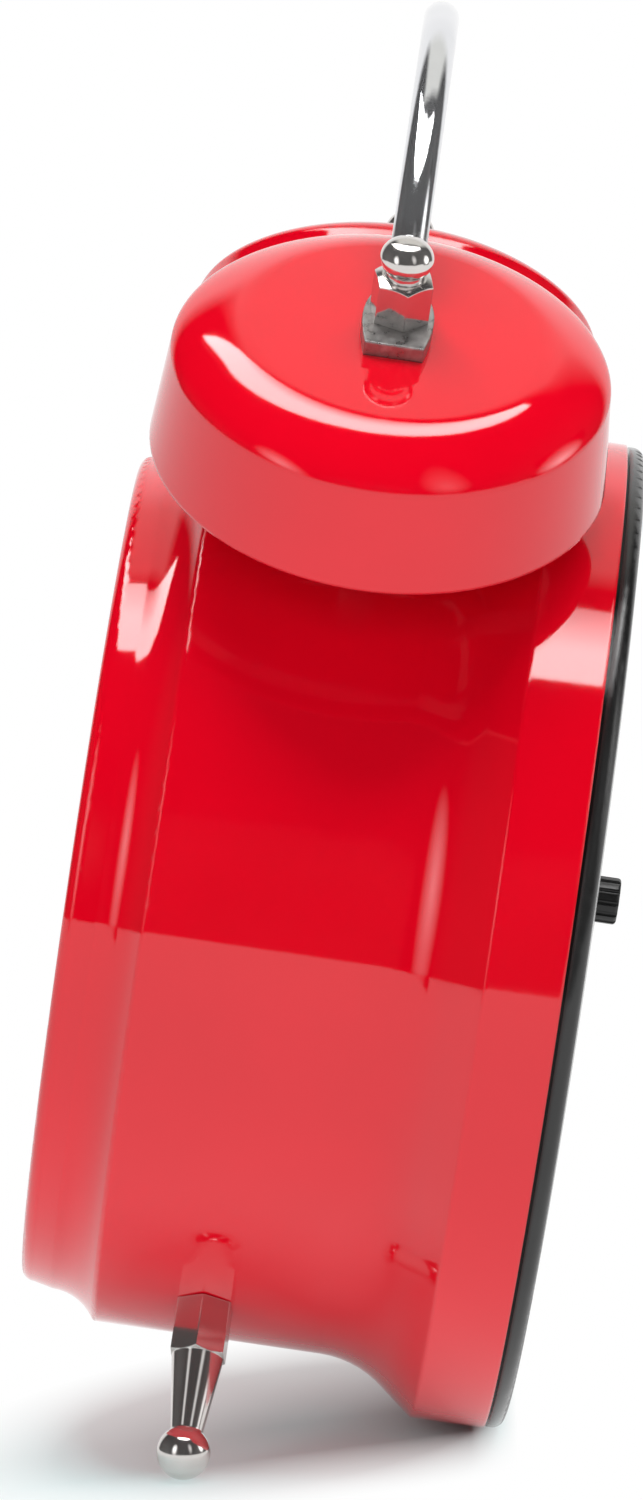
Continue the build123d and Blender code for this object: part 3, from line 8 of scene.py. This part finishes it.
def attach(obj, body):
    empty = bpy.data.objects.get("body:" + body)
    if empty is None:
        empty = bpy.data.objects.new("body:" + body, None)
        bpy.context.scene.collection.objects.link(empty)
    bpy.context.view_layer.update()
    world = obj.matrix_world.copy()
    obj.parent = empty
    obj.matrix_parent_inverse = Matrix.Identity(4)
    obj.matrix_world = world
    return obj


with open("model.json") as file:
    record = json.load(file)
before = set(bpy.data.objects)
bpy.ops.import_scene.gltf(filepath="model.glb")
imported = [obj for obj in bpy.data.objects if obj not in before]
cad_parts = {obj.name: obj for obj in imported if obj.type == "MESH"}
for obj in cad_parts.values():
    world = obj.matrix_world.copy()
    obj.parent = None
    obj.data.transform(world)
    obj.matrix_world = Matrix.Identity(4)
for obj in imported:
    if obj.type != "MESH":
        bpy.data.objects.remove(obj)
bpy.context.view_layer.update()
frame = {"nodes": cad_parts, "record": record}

nodes = frame["nodes"]
MM = 0.001

# The drum's own frame: x to the right of the dial, depth along the leaning axis to the rear, z up the dial
joints = {joint["name"]: joint for joint in frame["record"]["behaviour"]["joints"]}
AXIS = Vector(joints["hour_hand_spin"]["axis"]).normalized()
HUB = Vector(joints["hour_hand_spin"]["pos_m"])
RIGHT = Vector((1, 0, 0))
UP = RIGHT.cross(AXIS).normalized()
# The hands' joints lie at the front of the movement, this many millimetres behind the front of the drum
HUB_DEPTH = 16.5
DRUM_ORIGIN = HUB - AXIS * HUB_DEPTH * MM


def drum_matrix(x, depth, z):
    """Frame at a point of the drum, given in millimetres: x right, y up the dial and z out to the reader."""
    matrix = Matrix.Identity(4)
    for column, direction in enumerate((RIGHT, UP, -AXIS)):
        for row in range(3):
            matrix[row][column] = direction[row]
    matrix.translation = DRUM_ORIGIN + RIGHT * x * MM + AXIS * depth * MM + UP * z * MM
    return matrix


def mesh_piece(name, vertices, faces, material):
    mesh = bpy.data.meshes.new(name)
    mesh.from_pydata(vertices, [], faces)
    mesh.materials.append(material)
    made = bpy.data.objects.new(name, mesh)
    bpy.context.collection.objects.link(made)
    return made


# Shader nodes
EDGE_SAMPLES = 6


def new_material(name):
    material = bpy.data.materials.new(name)
    material.use_nodes = True
    tree = material.node_tree
    return material, tree, tree.nodes["Principled BSDF"]


def add(tree, kind, **values):
    node = tree.nodes.new(kind)
    for key, value in values.items():
        setattr(node, key, value)
    return node


def object_place(tree):
    return add(tree, "ShaderNodeTexCoord").outputs["Object"]


def scaled(tree, place, scale):
    node = add(tree, "ShaderNodeMapping")
    node.inputs["Scale"].default_value = scale
    tree.links.new(place, node.inputs["Vector"])
    return node.outputs["Vector"]


def split(tree, place):
    node = add(tree, "ShaderNodeSeparateXYZ")
    tree.links.new(place, node.inputs[0])
    return node.outputs


def noise(tree, place, scale, detail, rough):
    node = add(tree, "ShaderNodeTexNoise")
    node.inputs["Scale"].default_value = scale
    node.inputs["Detail"].default_value = detail
    node.inputs["Roughness"].default_value = rough
    tree.links.new(place, node.inputs["Vector"])
    return node.outputs["Fac"]


def ramp(tree, value, span, result=(0.0, 1.0)):
    """Map a value's span onto a result, held at both ends."""
    node = add(tree, "ShaderNodeMapRange")
    node.inputs["From Min"].default_value = span[0]
    node.inputs["From Max"].default_value = span[1]
    node.inputs["To Min"].default_value = result[0]
    node.inputs["To Max"].default_value = result[1]
    tree.links.new(value, node.inputs["Value"])
    return node.outputs["Result"]


def blend(tree, factor, low, high, data_type="RGBA"):
    """Mix of two colours or numbers; a tuple is a plain colour, anything else a node's output."""
    node = add(tree, "ShaderNodeMix", data_type=data_type)
    tree.links.new(factor, node.inputs["Factor"])
    for socket, value in ((node.inputs["A"], low), (node.inputs["B"], high)):
        if isinstance(value, tuple):
            socket.default_value = (*value, 1)
        else:
            tree.links.new(value, socket)
    return node.outputs["Result"]


def compute(tree, operation, first, second=None):
    """One step of arithmetic; the second term is a plain number or a node's output."""
    node = add(tree, "ShaderNodeMath", operation=operation)
    tree.links.new(first, node.inputs[0])
    if isinstance(second, float):
        node.inputs[1].default_value = second
    elif second is not None:
        tree.links.new(second, node.inputs[1])
    return node.outputs[0]


def length_of(tree, vector):
    node = add(tree, "ShaderNodeVectorMath", operation="LENGTH")
    tree.links.new(vector, node.inputs[0])
    return node.outputs["Value"]


def along_direction(tree, vector, direction):
    node = add(tree, "ShaderNodeVectorMath", operation="DOT_PRODUCT")
    node.inputs[1].default_value = direction
    tree.links.new(vector, node.inputs[0])
    return node.outputs["Value"]


def bump(tree, bsdf, height, strength, depth, edge=0.0):
    """Fine relief, with the piece's edges rounded in the light where an edge radius is given."""
    node = add(tree, "ShaderNodeBump")
    node.inputs["Strength"].default_value = strength
    node.inputs["Distance"].default_value = depth
    tree.links.new(height, node.inputs["Height"])
    tree.links.new(node.outputs["Normal"], bsdf.inputs["Normal"])
    if edge:
        rounded = add(tree, "ShaderNodeBevel", samples=EDGE_SAMPLES)
        rounded.inputs["Radius"].default_value = edge
        tree.links.new(rounded.outputs["Normal"], node.inputs["Normal"])


# Finishes: most values of a noise lie in its span
NOISE_SPAN = (0.3, 0.7)
CLOUD_SPAN = (0.35, 0.65)


def surface(name, low, high, rough, cloud, grain, relief, depth, metallic=0.0, specular=0.5,
            squash=(1, 1, 1), edge=0.0):
    """Finish of two near colours mixed by a slow cloud, with roughness and relief from a fine grain."""
    material, tree, bsdf = new_material(name)
    place = object_place(tree)
    slow = noise(tree, place, cloud, detail=4.0, rough=0.55)
    fine = noise(tree, scaled(tree, place, squash), grain, detail=3.0, rough=0.6)
    tree.links.new(blend(tree, ramp(tree, slow, CLOUD_SPAN), low, high), bsdf.inputs["Base Color"])
    tree.links.new(ramp(tree, fine, NOISE_SPAN, rough), bsdf.inputs["Roughness"])
    bsdf.inputs["Metallic"].default_value = metallic
    bsdf.inputs["Specular IOR Level"].default_value = specular
    bump(tree, bsdf, fine, relief, depth, edge)
    return material


def turned_metal(name, low, high, rough, metallic=1.0, edge=0.0):
    """Bright turned or drawn metal with very fine lines."""
    return surface(name, low, high, rough, cloud=60.0, grain=2600.0, relief=0.05, depth=0.00002,
                   metallic=metallic, squash=(1, 1, 0.06), edge=edge)


def glass():
    """Clear pane with a faint haze."""
    material, tree, bsdf = new_material("dial_glass")
    haze = noise(tree, object_place(tree), scale=35.0, detail=4.0, rough=0.6)
    tree.links.new(ramp(tree, haze, NOISE_SPAN, (0.01, 0.035)), bsdf.inputs["Roughness"])
    tree.links.new(blend(tree, haze, (0.20, 0.22, 0.22), (0.27, 0.29, 0.28)), bsdf.inputs["Base Color"])
    bsdf.inputs["Alpha"].default_value = 0.07
    bsdf.inputs["IOR"].default_value = 1.5
    bsdf.inputs["Specular IOR Level"].default_value = 1.0
    return material


def wound(name, low, high):
    """Coil of fine enamelled wire, drawn as fine bands."""
    material, tree, bsdf = new_material(name)
    wave = add(tree, "ShaderNodeTexWave", wave_type="BANDS", bands_direction="X")
    wave.inputs["Scale"].default_value = 900.0
    wave.inputs["Distortion"].default_value = 1.5
    tree.links.new(object_place(tree), wave.inputs["Vector"])
    wire = wave.outputs["Fac"]
    tree.links.new(blend(tree, wire, low, high), bsdf.inputs["Base Color"])
    tree.links.new(ramp(tree, wire, (0.0, 1.0), (0.45, 0.25)), bsdf.inputs["Roughness"])
    bsdf.inputs["Metallic"].default_value = 0.8
    bump(tree, bsdf, wire, strength=0.5, depth=0.0002)
    return material


# Heights on the handle, in metres, between which the dull lug turns into the bright arch
LUG_TOP = 0.238
ARCH_FOOT = LUG_TOP + 0.008


def worn_chrome():
    """Chromed rod: a clouded mirror along the arch, mottled and dull on the flattened lugs below it."""
    material, tree, bsdf = new_material("handle_chrome")
    place = object_place(tree)
    mottle = noise(tree, place, scale=420.0, detail=5.0, rough=0.65)
    cloud = noise(tree, place, scale=90.0, detail=3.0, rough=0.5)
    height = ramp(tree, split(tree, place)["Z"], (LUG_TOP, ARCH_FOOT))
    lug_rough = ramp(tree, mottle, NOISE_SPAN, (0.22, 0.46))
    arch_rough = ramp(tree, mottle, (0.40, 0.75), (0.03, 0.11))
    lug_colour = blend(tree, mottle, (0.14, 0.13, 0.13), (0.58, 0.56, 0.55))
    arch_colour = blend(tree, cloud, (0.70, 0.71, 0.73), (0.82, 0.82, 0.84))
    tree.links.new(blend(tree, height, lug_rough, arch_rough, "FLOAT"), bsdf.inputs["Roughness"])
    tree.links.new(blend(tree, height, lug_colour, arch_colour), bsdf.inputs["Base Color"])
    bsdf.inputs["Metallic"].default_value = 0.90
    bump(tree, bsdf, mottle, strength=0.08, depth=0.0002, edge=0.0006)
    return material


RED = surface("red_gloss_enamel", (0.68, 0.0006, 0.0110), (0.73, 0.0010, 0.0135), rough=(0.04, 0.07),
              cloud=14.0, grain=500.0, relief=0.006, depth=0.0002, specular=0.75, edge=0.0009)
CHROME = worn_chrome()
NICKEL = turned_metal("bright_nickel", (0.62, 0.59, 0.57), (0.72, 0.69, 0.67), rough=(0.06, 0.13),
                      metallic=0.90, edge=0.0004)
BLACK = surface("black_moulded_plastic", (0.010, 0.010, 0.010), (0.017, 0.017, 0.017), rough=(0.10, 0.17),
                cloud=40.0, grain=1600.0, relief=0.008, depth=0.0002, specular=0.6, edge=0.0025)
KNOB = surface("black_knob_plastic", (0.010, 0.010, 0.010), (0.018, 0.018, 0.018), rough=(0.28, 0.40),
               cloud=120.0, grain=2200.0, relief=0.08, depth=0.0001)
GREY = surface("grey_switch_plastic", (0.36, 0.36, 0.37), (0.42, 0.42, 0.43), rough=(0.38, 0.50),
               cloud=160.0, grain=2000.0, relief=0.08, depth=0.0001)
WHITE = surface("white_ring_plastic", (0.78, 0.77, 0.74), (0.83, 0.82, 0.79), rough=(0.30, 0.40),
                cloud=50.0, grain=900.0, relief=0.05, depth=0.0002)
DIAL = surface("dial_matt_paint", (0.80, 0.78, 0.72), (0.84, 0.83, 0.78), rough=(0.55, 0.68),
               cloud=22.0, grain=1300.0, relief=0.06, depth=0.0001)
NATURAL = surface("natural_plastic", (0.58, 0.58, 0.55), (0.66, 0.66, 0.62), rough=(0.45, 0.58),
                  cloud=45.0, grain=900.0, relief=0.08, depth=0.0002)
RUBBER = surface("seal_rubber", (0.018, 0.018, 0.018), (0.035, 0.035, 0.035), rough=(0.7, 0.85),
                 cloud=90.0, grain=1500.0, relief=0.2, depth=0.0002)
STEEL = turned_metal("zinc_plated_steel", (0.50, 0.51, 0.53), (0.60, 0.60, 0.60), rough=(0.22, 0.36))
IRON = turned_metal("soft_iron", (0.34, 0.34, 0.36), (0.44, 0.44, 0.45), rough=(0.34, 0.48))
BRASS = turned_metal("turned_brass", (0.72, 0.52, 0.22), (0.80, 0.60, 0.28), rough=(0.16, 0.28))
WHEEL = surface("wheel_plastic", (0.76, 0.75, 0.68), (0.82, 0.81, 0.75), rough=(0.28, 0.40),
                cloud=150.0, grain=1800.0, relief=0.05, depth=0.0001)
BOARD = surface("circuit_board_lacquer", (0.015, 0.12, 0.05), (0.025, 0.17, 0.07), rough=(0.28, 0.42),
                cloud=160.0, grain=1500.0, relief=0.15, depth=0.0002)
CAN = turned_metal("crystal_can", (0.62, 0.62, 0.64), (0.72, 0.72, 0.74), rough=(0.12, 0.22))
SLEEVE = surface("cell_sleeve", (0.03, 0.03, 0.04), (0.05, 0.05, 0.06), rough=(0.22, 0.32),
                 cloud=60.0, grain=900.0, relief=0.03, depth=0.0001)
HAND_BLACK = surface("hand_black_lacquer", (0.010, 0.010, 0.010), (0.020, 0.020, 0.020), rough=(0.25, 0.36),
                     cloud=120.0, grain=1800.0, relief=0.04, depth=0.0001)
HAND_RED = surface("hand_red_lacquer", (0.55, 0.012, 0.012), (0.62, 0.018, 0.018), rough=(0.28, 0.38),
                   cloud=120.0, grain=1800.0, relief=0.04, depth=0.0001)
HAND_GOLD = surface("hand_gold_lacquer", (0.62, 0.44, 0.14), (0.70, 0.52, 0.20), rough=(0.28, 0.40),
                    cloud=120.0, grain=1800.0, relief=0.04, depth=0.0001, metallic=0.4)
INK = surface("dial_ink", (0.012, 0.012, 0.012), (0.022, 0.022, 0.022), rough=(0.5, 0.65),
              cloud=60.0, grain=1600.0, relief=0.06, depth=0.0001)
GLASS = glass()
COPPER = wound("copper_winding", (0.36, 0.13, 0.05), (0.62, 0.27, 0.12))

finishes = {
    RED: ["drum", "bell_right", "bell_left"],
    CHROME: ["handle"],
    NICKEL: ["finial_right", "finial_left", "foot_right", "foot_left", "bell_post_right", "bell_post_left"],
    BLACK: ["rear_cover", "battery_door"],
    KNOB: ["time_knob", "alarm_knob"],
    GREY: ["alarm_switch"],
    GLASS: ["front_glass"],
    WHITE: ["dial_ring"],
    DIAL: ["dial_plate"],
    NATURAL: ["dial_carrier", "movement_cup", "movement_lid", "switch_body"],
    RUBBER: ["glass_gasket"],
    STEEL: ["cover_screws", "post_nuts", "foot_nuts", "striker_bracket", "bracket_screws", "hammer_pin",
            "hammer_lever", "time_stem", "alarm_stem", "battery_contacts"],
    IRON: ["striker_cores", "stator", "coil_core"],
    COPPER: ["striker_coils", "motor_coil"],
    BRASS: ["hammer_head", "fixing_nut"],
    WHEEL: ["minute_arbor", "motion_wheel", "hour_wheel", "alarm_wheel", "alarm_setting_wheel",
            "second_wheel", "third_wheel", "centre_wheel", "step_wheel", "rotor"],
    BOARD: ["circuit_board"],
    CAN: ["quartz_crystal"],
    SLEEVE: ["battery_cells"],
    HAND_BLACK: ["hour_hand", "minute_hand"],
    HAND_RED: ["second_hand"],
    HAND_GOLD: ["alarm_hand"],
}
for material, names in finishes.items():
    for name in names:
        piece = nodes[name]
        piece.data.materials.clear()
        piece.data.materials.append(material)

# Dial print, in millimetres: numbers and minute track, a hair in front of the dial
DIAL_DEPTH = 13.0
PRINT_GAP = 0.03
PRINT_DEPTH = DIAL_DEPTH - PRINT_GAP
HOURS = 12
MINUTES = 60
NUMBER_RADIUS = 60.0
NUMBER_SIZE = 17
NUMBER_WEIGHT = 0.25
TRACK_RADIUS = 75.5
HOUR_MARK_START = 71.0
HOUR_MARK_HALF = 0.9
MINUTE_MARK_START = 73.2
MINUTE_MARK_HALF = 0.3


def number_text(hour):
    angle = math.radians(360 * hour / HOURS)
    x, z = NUMBER_RADIUS * math.sin(angle), NUMBER_RADIUS * math.cos(angle)
    curve = bpy.data.curves.new(f"number_{hour}", "FONT")
    curve.body = str(hour)
    curve.size = NUMBER_SIZE * MM
    curve.offset = NUMBER_WEIGHT * MM
    curve.align_x = "CENTER"
    curve.align_y = "CENTER"
    made = bpy.data.objects.new(f"number_{hour}", curve)
    bpy.context.collection.objects.link(made)
    made.matrix_world = drum_matrix(x, PRINT_DEPTH, z)
    return made


def dial_numbers():
    """The twelve upright numbers as one flat mesh."""
    texts = [number_text(hour) for hour in range(1, HOURS + 1)]
    depsgraph = bpy.context.evaluated_depsgraph_get()
    vertices = []
    faces = []
    for text in texts:
        flat = bpy.data.meshes.new_from_object(text.evaluated_get(depsgraph))
        start = len(vertices)
        vertices += [text.matrix_world @ vertex.co for vertex in flat.vertices]
        faces += [tuple(start + i for i in polygon.vertices) for polygon in flat.polygons]
        bpy.data.objects.remove(text)
    return mesh_piece("dial_numbers", vertices, faces, INK)


def minute_track():
    """Sixty short marks round the dial, with a longer and wider one at each hour."""
    vertices = []
    faces = []
    for minute in range(MINUTES):
        angle = math.radians(360 * minute / MINUTES)
        c, s = math.cos(angle), math.sin(angle)
        start, half = MINUTE_MARK_START, MINUTE_MARK_HALF
        if minute % (MINUTES // HOURS) == 0:
            start, half = HOUR_MARK_START, HOUR_MARK_HALF
        corners = ((-half, start), (half, start), (half, TRACK_RADIUS), (-half, TRACK_RADIUS))
        faces.append(tuple(range(len(vertices), len(vertices) + len(corners))))
        vertices += [((x * c + y * s) * MM, (-x * s + y * c) * MM, 0) for x, y in corners]
    made = mesh_piece("minute_track", vertices, faces, INK)
    made.matrix_world = drum_matrix(0, PRINT_DEPTH, 0)
    return made


for print_piece in (dial_numbers(), minute_track()):
    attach(print_piece, "case")

# Floor, in metres: its lit surface takes the clock's real shade, but the material paints the shade's outline
# as a slanted oval under the clock, lifts it with painted white glow on the dial's side that thins towards
# the rear, stops it close behind the rear flange, and fades it to white on the near and the far side of the
# clock
FLOOR_BACK = -30.0
FLOOR_FRONT = 1.35
FLOOR_HALF_WIDTH = 30.0
FLOOR_HEIGHT = -0.0002
# Numbers of the painted shade mask: where it is below one, painted white glow replaces part of the floor's
# real shade
OVAL_ACROSS = (0.7, 0.5, 0.0)
OVAL_SHIFT = 0.010
OVAL_EDGE = (0.044, 0.074)
SHADE_GROWTH = (-0.058, 0.026)
SHADE_AT_DIAL = 0.58
SHADE_STOP = (0.0280, 0.0375)
SHADE_NEAR_EDGE = (0.0215, 0.058)
SHADE_FAR_EDGE = (-0.15, 0.0)
# Floor colours under the clock: a painted bluish green that cancels the red light bounced onto the floor from
# the drum
FLOOR_MIDDLE = (0.40, 0.90, 0.90)
FLOOR_RIM = (0.68, 0.88, 0.88)
FLOOR_REAR = (0.44, 0.88, 0.88)


def floor_material():
    """Floor glowing plain white, except in a painted mask under the clock where its lit surface shows the
    clock's real shade, partly lifted by painted white glow; its colour there is a painted bluish green that
    evens out the red light bounced from the drum.
    """
    material, tree, bsdf = new_material("floor_white")
    place = object_place(tree)
    rearward = split(tree, place)["Y"]
    across = along_direction(tree, place, OVAL_ACROSS)
    oval = add(tree, "ShaderNodeCombineXYZ")
    tree.links.new(across, oval.inputs["X"])
    tree.links.new(compute(tree, "ADD", rearward, OVAL_SHIFT), oval.inputs["Y"])
    outward = length_of(tree, oval.outputs[0])
    # Painted outline of the shade: at one the lit floor shows its real shade, below one painted white glow is
    # mixed in
    shade = ramp(tree, outward, OVAL_EDGE, (1.0, 0.0))
    shares = (
        ramp(tree, rearward, SHADE_GROWTH, (SHADE_AT_DIAL, 1.0)),
        ramp(tree, rearward, SHADE_STOP, (1.0, 0.0)),
        ramp(tree, across, SHADE_NEAR_EDGE, (1.0, 0.0)),
        ramp(tree, across, SHADE_FAR_EDGE),
    )
    for share in shares:
        shade = compute(tree, "MULTIPLY", shade, share)
    # Painted tint against the red bounce light, strongest in the middle of the oval and under the rear flange
    under_clock = blend(tree, ramp(tree, outward, (0.0, OVAL_EDGE[1])), FLOOR_MIDDLE, FLOOR_RIM)
    under_flange = ramp(tree, rearward, (0.0, SHADE_GROWTH[1]))
    tree.links.new(blend(tree, under_flange, under_clock, FLOOR_REAR), bsdf.inputs["Base Color"])
    bsdf.inputs["Roughness"].default_value = 0.9
    bsdf.inputs["Specular IOR Level"].default_value = 0.1
    # White glow that makes the floor plain white outside the mask and paints a lift into the shade inside it
    glow = add(tree, "ShaderNodeEmission")
    glow.inputs["Strength"].default_value = 1.0
    mix = add(tree, "ShaderNodeMixShader")
    tree.links.new(shade, mix.inputs[0])
    tree.links.new(glow.outputs[0], mix.inputs[1])
    tree.links.new(bsdf.outputs[0], mix.inputs[2])
    tree.links.new(mix.outputs[0], tree.nodes["Material Output"].inputs["Surface"])
    return material


def floor(x_low, x_high, y_half):
    corners = [(x_low, -y_half), (x_high, -y_half), (x_high, y_half), (x_low, y_half)]
    vertices = [(x, y, FLOOR_HEIGHT) for x, y in corners]
    return mesh_piece("floor", vertices, [(0, 1, 2, 3)], floor_material())


floor(FLOOR_BACK, FLOOR_FRONT, FLOOR_HALF_WIDTH)

# Room round the clock, by direction: dark, with a pale ceiling panel and a white wall behind the clock
CEILING_SLOPE = (1.0, 0.0, -0.67)
CEILING_EDGE = (-0.82, -0.72)
CEILING_MIDDLE = 0.15
CEILING_HALF_WIDTH = (0.36, 0.50)
CEILING_COLOUR = (0.78, 0.78, 0.74)
WALL_EDGE = (-0.72, -0.58)
WALL_COLOUR = (1.0, 1.0, 1.0)
SIDE_EDGE = (0.7, 1.0)
SIDE_COLOUR = (0.08, 0.08, 0.08)
DARK_COLOUR = (0.010, 0.010, 0.010)


def studio_room():
    """World as mirrored by the clock; seen directly or through the glass it is plain white."""
    world = bpy.data.worlds.new("studio")
    bpy.context.scene.world = world
    world.use_nodes = True
    tree = world.node_tree
    tree.nodes.clear()
    direction = add(tree, "ShaderNodeTexCoord").outputs["Generated"]
    parts = split(tree, direction)
    sideways = compute(tree, "ABSOLUTE", parts["Y"])
    colour = blend(tree, ramp(tree, sideways, SIDE_EDGE), DARK_COLOUR, SIDE_COLOUR)
    from_middle = compute(tree, "ABSOLUTE", compute(tree, "SUBTRACT", parts["Y"], CEILING_MIDDLE))
    overhead = ramp(tree, along_direction(tree, direction, CEILING_SLOPE), CEILING_EDGE, (1.0, 0.0))
    ceiling = compute(tree, "MULTIPLY", overhead, ramp(tree, from_middle, CEILING_HALF_WIDTH, (1.0, 0.0)))
    colour = blend(tree, ceiling, colour, CEILING_COLOUR)
    colour = blend(tree, ramp(tree, parts["X"], WALL_EDGE, (1.0, 0.0)), colour, WALL_COLOUR)
    room = add(tree, "ShaderNodeBackground")
    tree.links.new(colour, room.inputs["Color"])
    white = add(tree, "ShaderNodeBackground")
    white.inputs["Color"].default_value = (1, 1, 1, 1)
    rays = add(tree, "ShaderNodeLightPath").outputs
    seen = compute(tree, "MAXIMUM", rays["Is Camera Ray"], rays["Is Transmission Ray"])
    mix = add(tree, "ShaderNodeMixShader")
    tree.links.new(seen, mix.inputs[0])
    tree.links.new(room.outputs[0], mix.inputs[1])
    tree.links.new(white.outputs[0], mix.inputs[2])
    tree.links.new(mix.outputs[0], add(tree, "ShaderNodeOutputWorld").inputs["Surface"])


studio_room()

# Lights: part of a ring overhead, three soft boxes and a fill from the front, in metres and degrees
RING_PLACE = (-0.10, 0.12, 1.40)
RING_RADIUS = 0.75
RING_WIDTH = 0.56
RING_STRENGTH = 9.0
RING_INNER_STRENGTH = 1.0
RING_FADE = 0.22
RING_START = -118.0
RING_END = 86.0
RING_STEPS = 40
RING_TAIL_START = -85.0
RING_TAIL_TURN = 33.0
RING_TAIL_REACH = 0.20
RING_SWELL_TURN = 212.0
RING_SWELL_POWER = 0.7
SOFTBOXES = (
    {"name": "softbox_left", "place": (0.985, -0.770, 0.50), "target": (0.0, 0.0, 0.50), "width": 0.55,
     "height": 1.3, "strength": 3.0},
    {"name": "softbox_side", "place": (0.10, 1.25, 0.45), "target": (0.0, 0.0, 0.20), "width": 0.7,
     "height": 0.9, "strength": 4.5},
    {"name": "softbox_right", "place": (1.071, 0.644, 0.65), "target": (0.0, 0.0, 0.50), "width": 0.45,
     "height": 1.3, "strength": 1.2},
)
FILL_PLACE = (1.9, 0.0, 0.30)
FILL_TARGET = (0.0, 0.0, 0.2)
FILL_SIZE = 1.2
FILL_POWER = 19.0


def look_at(made, target):
    made.rotation_mode = "QUATERNION"
    made.rotation_quaternion = (Vector(target) - made.location).to_track_quat("-Z", "Y")


def light_panel(name, vertices, faces, place, strength_nodes):
    """Lit panel of the studio, out of the camera's sight, with a strength that varies over it."""
    material, tree, bsdf = new_material(name)
    tree.nodes.remove(bsdf)
    glow = add(tree, "ShaderNodeEmission")
    tree.links.new(strength_nodes(tree), glow.inputs["Strength"])
    tree.links.new(glow.outputs[0], tree.nodes["Material Output"].inputs["Surface"])
    made = mesh_piece(name, vertices, faces, material)
    made.location = place
    made.visible_camera = False
    return made


def softbox(name, place, target, width, height, strength):
    """Panel that fades from its middle to an oval edge."""
    def strength_nodes(tree):
        fade = add(tree, "ShaderNodeTexGradient", gradient_type="SPHERICAL")
        tree.links.new(scaled(tree, object_place(tree), (2 / width, 2 / height, 1.0)), fade.inputs["Vector"])
        return ramp(tree, fade.outputs["Fac"], (0.0, 1.0), (0.0, strength))

    x, y = width / 2, height / 2
    corners = [(-x, -y, 0), (x, -y, 0), (x, y, 0), (-x, y, 0)]
    look_at(light_panel(name, corners, [(0, 1, 2, 3)], place, strength_nodes), target)


def ring_light():
    """Part of a ring, wide at its middle, drawn out to a tail on the dial's side and fading inwards."""
    def strength_nodes(tree):
        fade = (RING_RADIUS - RING_WIDTH, RING_RADIUS - RING_FADE)
        return ramp(tree, length_of(tree, object_place(tree)), fade, (RING_INNER_STRENGTH, RING_STRENGTH))

    vertices = []
    for i in range(RING_STEPS + 1):
        turn = RING_START + (RING_END - RING_START) * i / RING_STEPS
        tail = max(0.0, (RING_TAIL_START - turn) / RING_TAIL_TURN)
        outer = RING_RADIUS + RING_TAIL_REACH * tail * tail
        swell = math.sin(math.pi * (turn - RING_START) / RING_SWELL_TURN) ** RING_SWELL_POWER
        inner = outer - RING_WIDTH * swell
        c, s = math.cos(math.radians(turn)), math.sin(math.radians(turn))
        vertices += [(inner * c, inner * s, 0), (outer * c, outer * s, 0)]
    faces = [(2 * i, 2 * i + 1, 2 * i + 3, 2 * i + 2) for i in range(RING_STEPS)]
    light_panel("ring_overhead", vertices, faces, RING_PLACE, strength_nodes)


def fill_light():
    """Broad lamp from the front, not mirrored by the clock."""
    data = bpy.data.lights.new("fill_front", "AREA")
    data.size = FILL_SIZE
    data.energy = FILL_POWER
    made = bpy.data.objects.new("fill_front", data)
    made.location = FILL_PLACE
    look_at(made, FILL_TARGET)
    made.visible_camera = False
    made.visible_glossy = False
    bpy.context.collection.objects.link(made)


ring_light()
for box in SOFTBOXES:
    softbox(**box)
fill_light()

# Camera at the photograph's viewing angle
TARGET = Vector((0.0, -0.0023, 0.1365))
AZIMUTH = math.radians(90.83)
ELEVATION = math.radians(5.69)
DISTANCE = 1.5200
SENSOR_WIDTH = 36.0
FOCAL_PIXELS = 7550.27
PICTURE_HEIGHT = 1500.0

camera_data = bpy.data.cameras.new("camera")
camera_data.sensor_fit = "AUTO"
camera_data.sensor_width = SENSOR_WIDTH
camera_data.lens = SENSOR_WIDTH * FOCAL_PIXELS / PICTURE_HEIGHT
camera = bpy.data.objects.new("camera", camera_data)
bpy.context.collection.objects.link(camera)
level = math.cos(ELEVATION)
back = Vector((math.sin(AZIMUTH) * level, -math.cos(AZIMUTH) * level, math.sin(ELEVATION)))
camera.location = TARGET + back * DISTANCE
camera.rotation_mode = "QUATERNION"
camera.rotation_quaternion = (-back).to_track_quat("-Z", "Y")
bpy.context.scene.camera = camera
bpy.context.scene.view_settings.view_transform = "Standard"
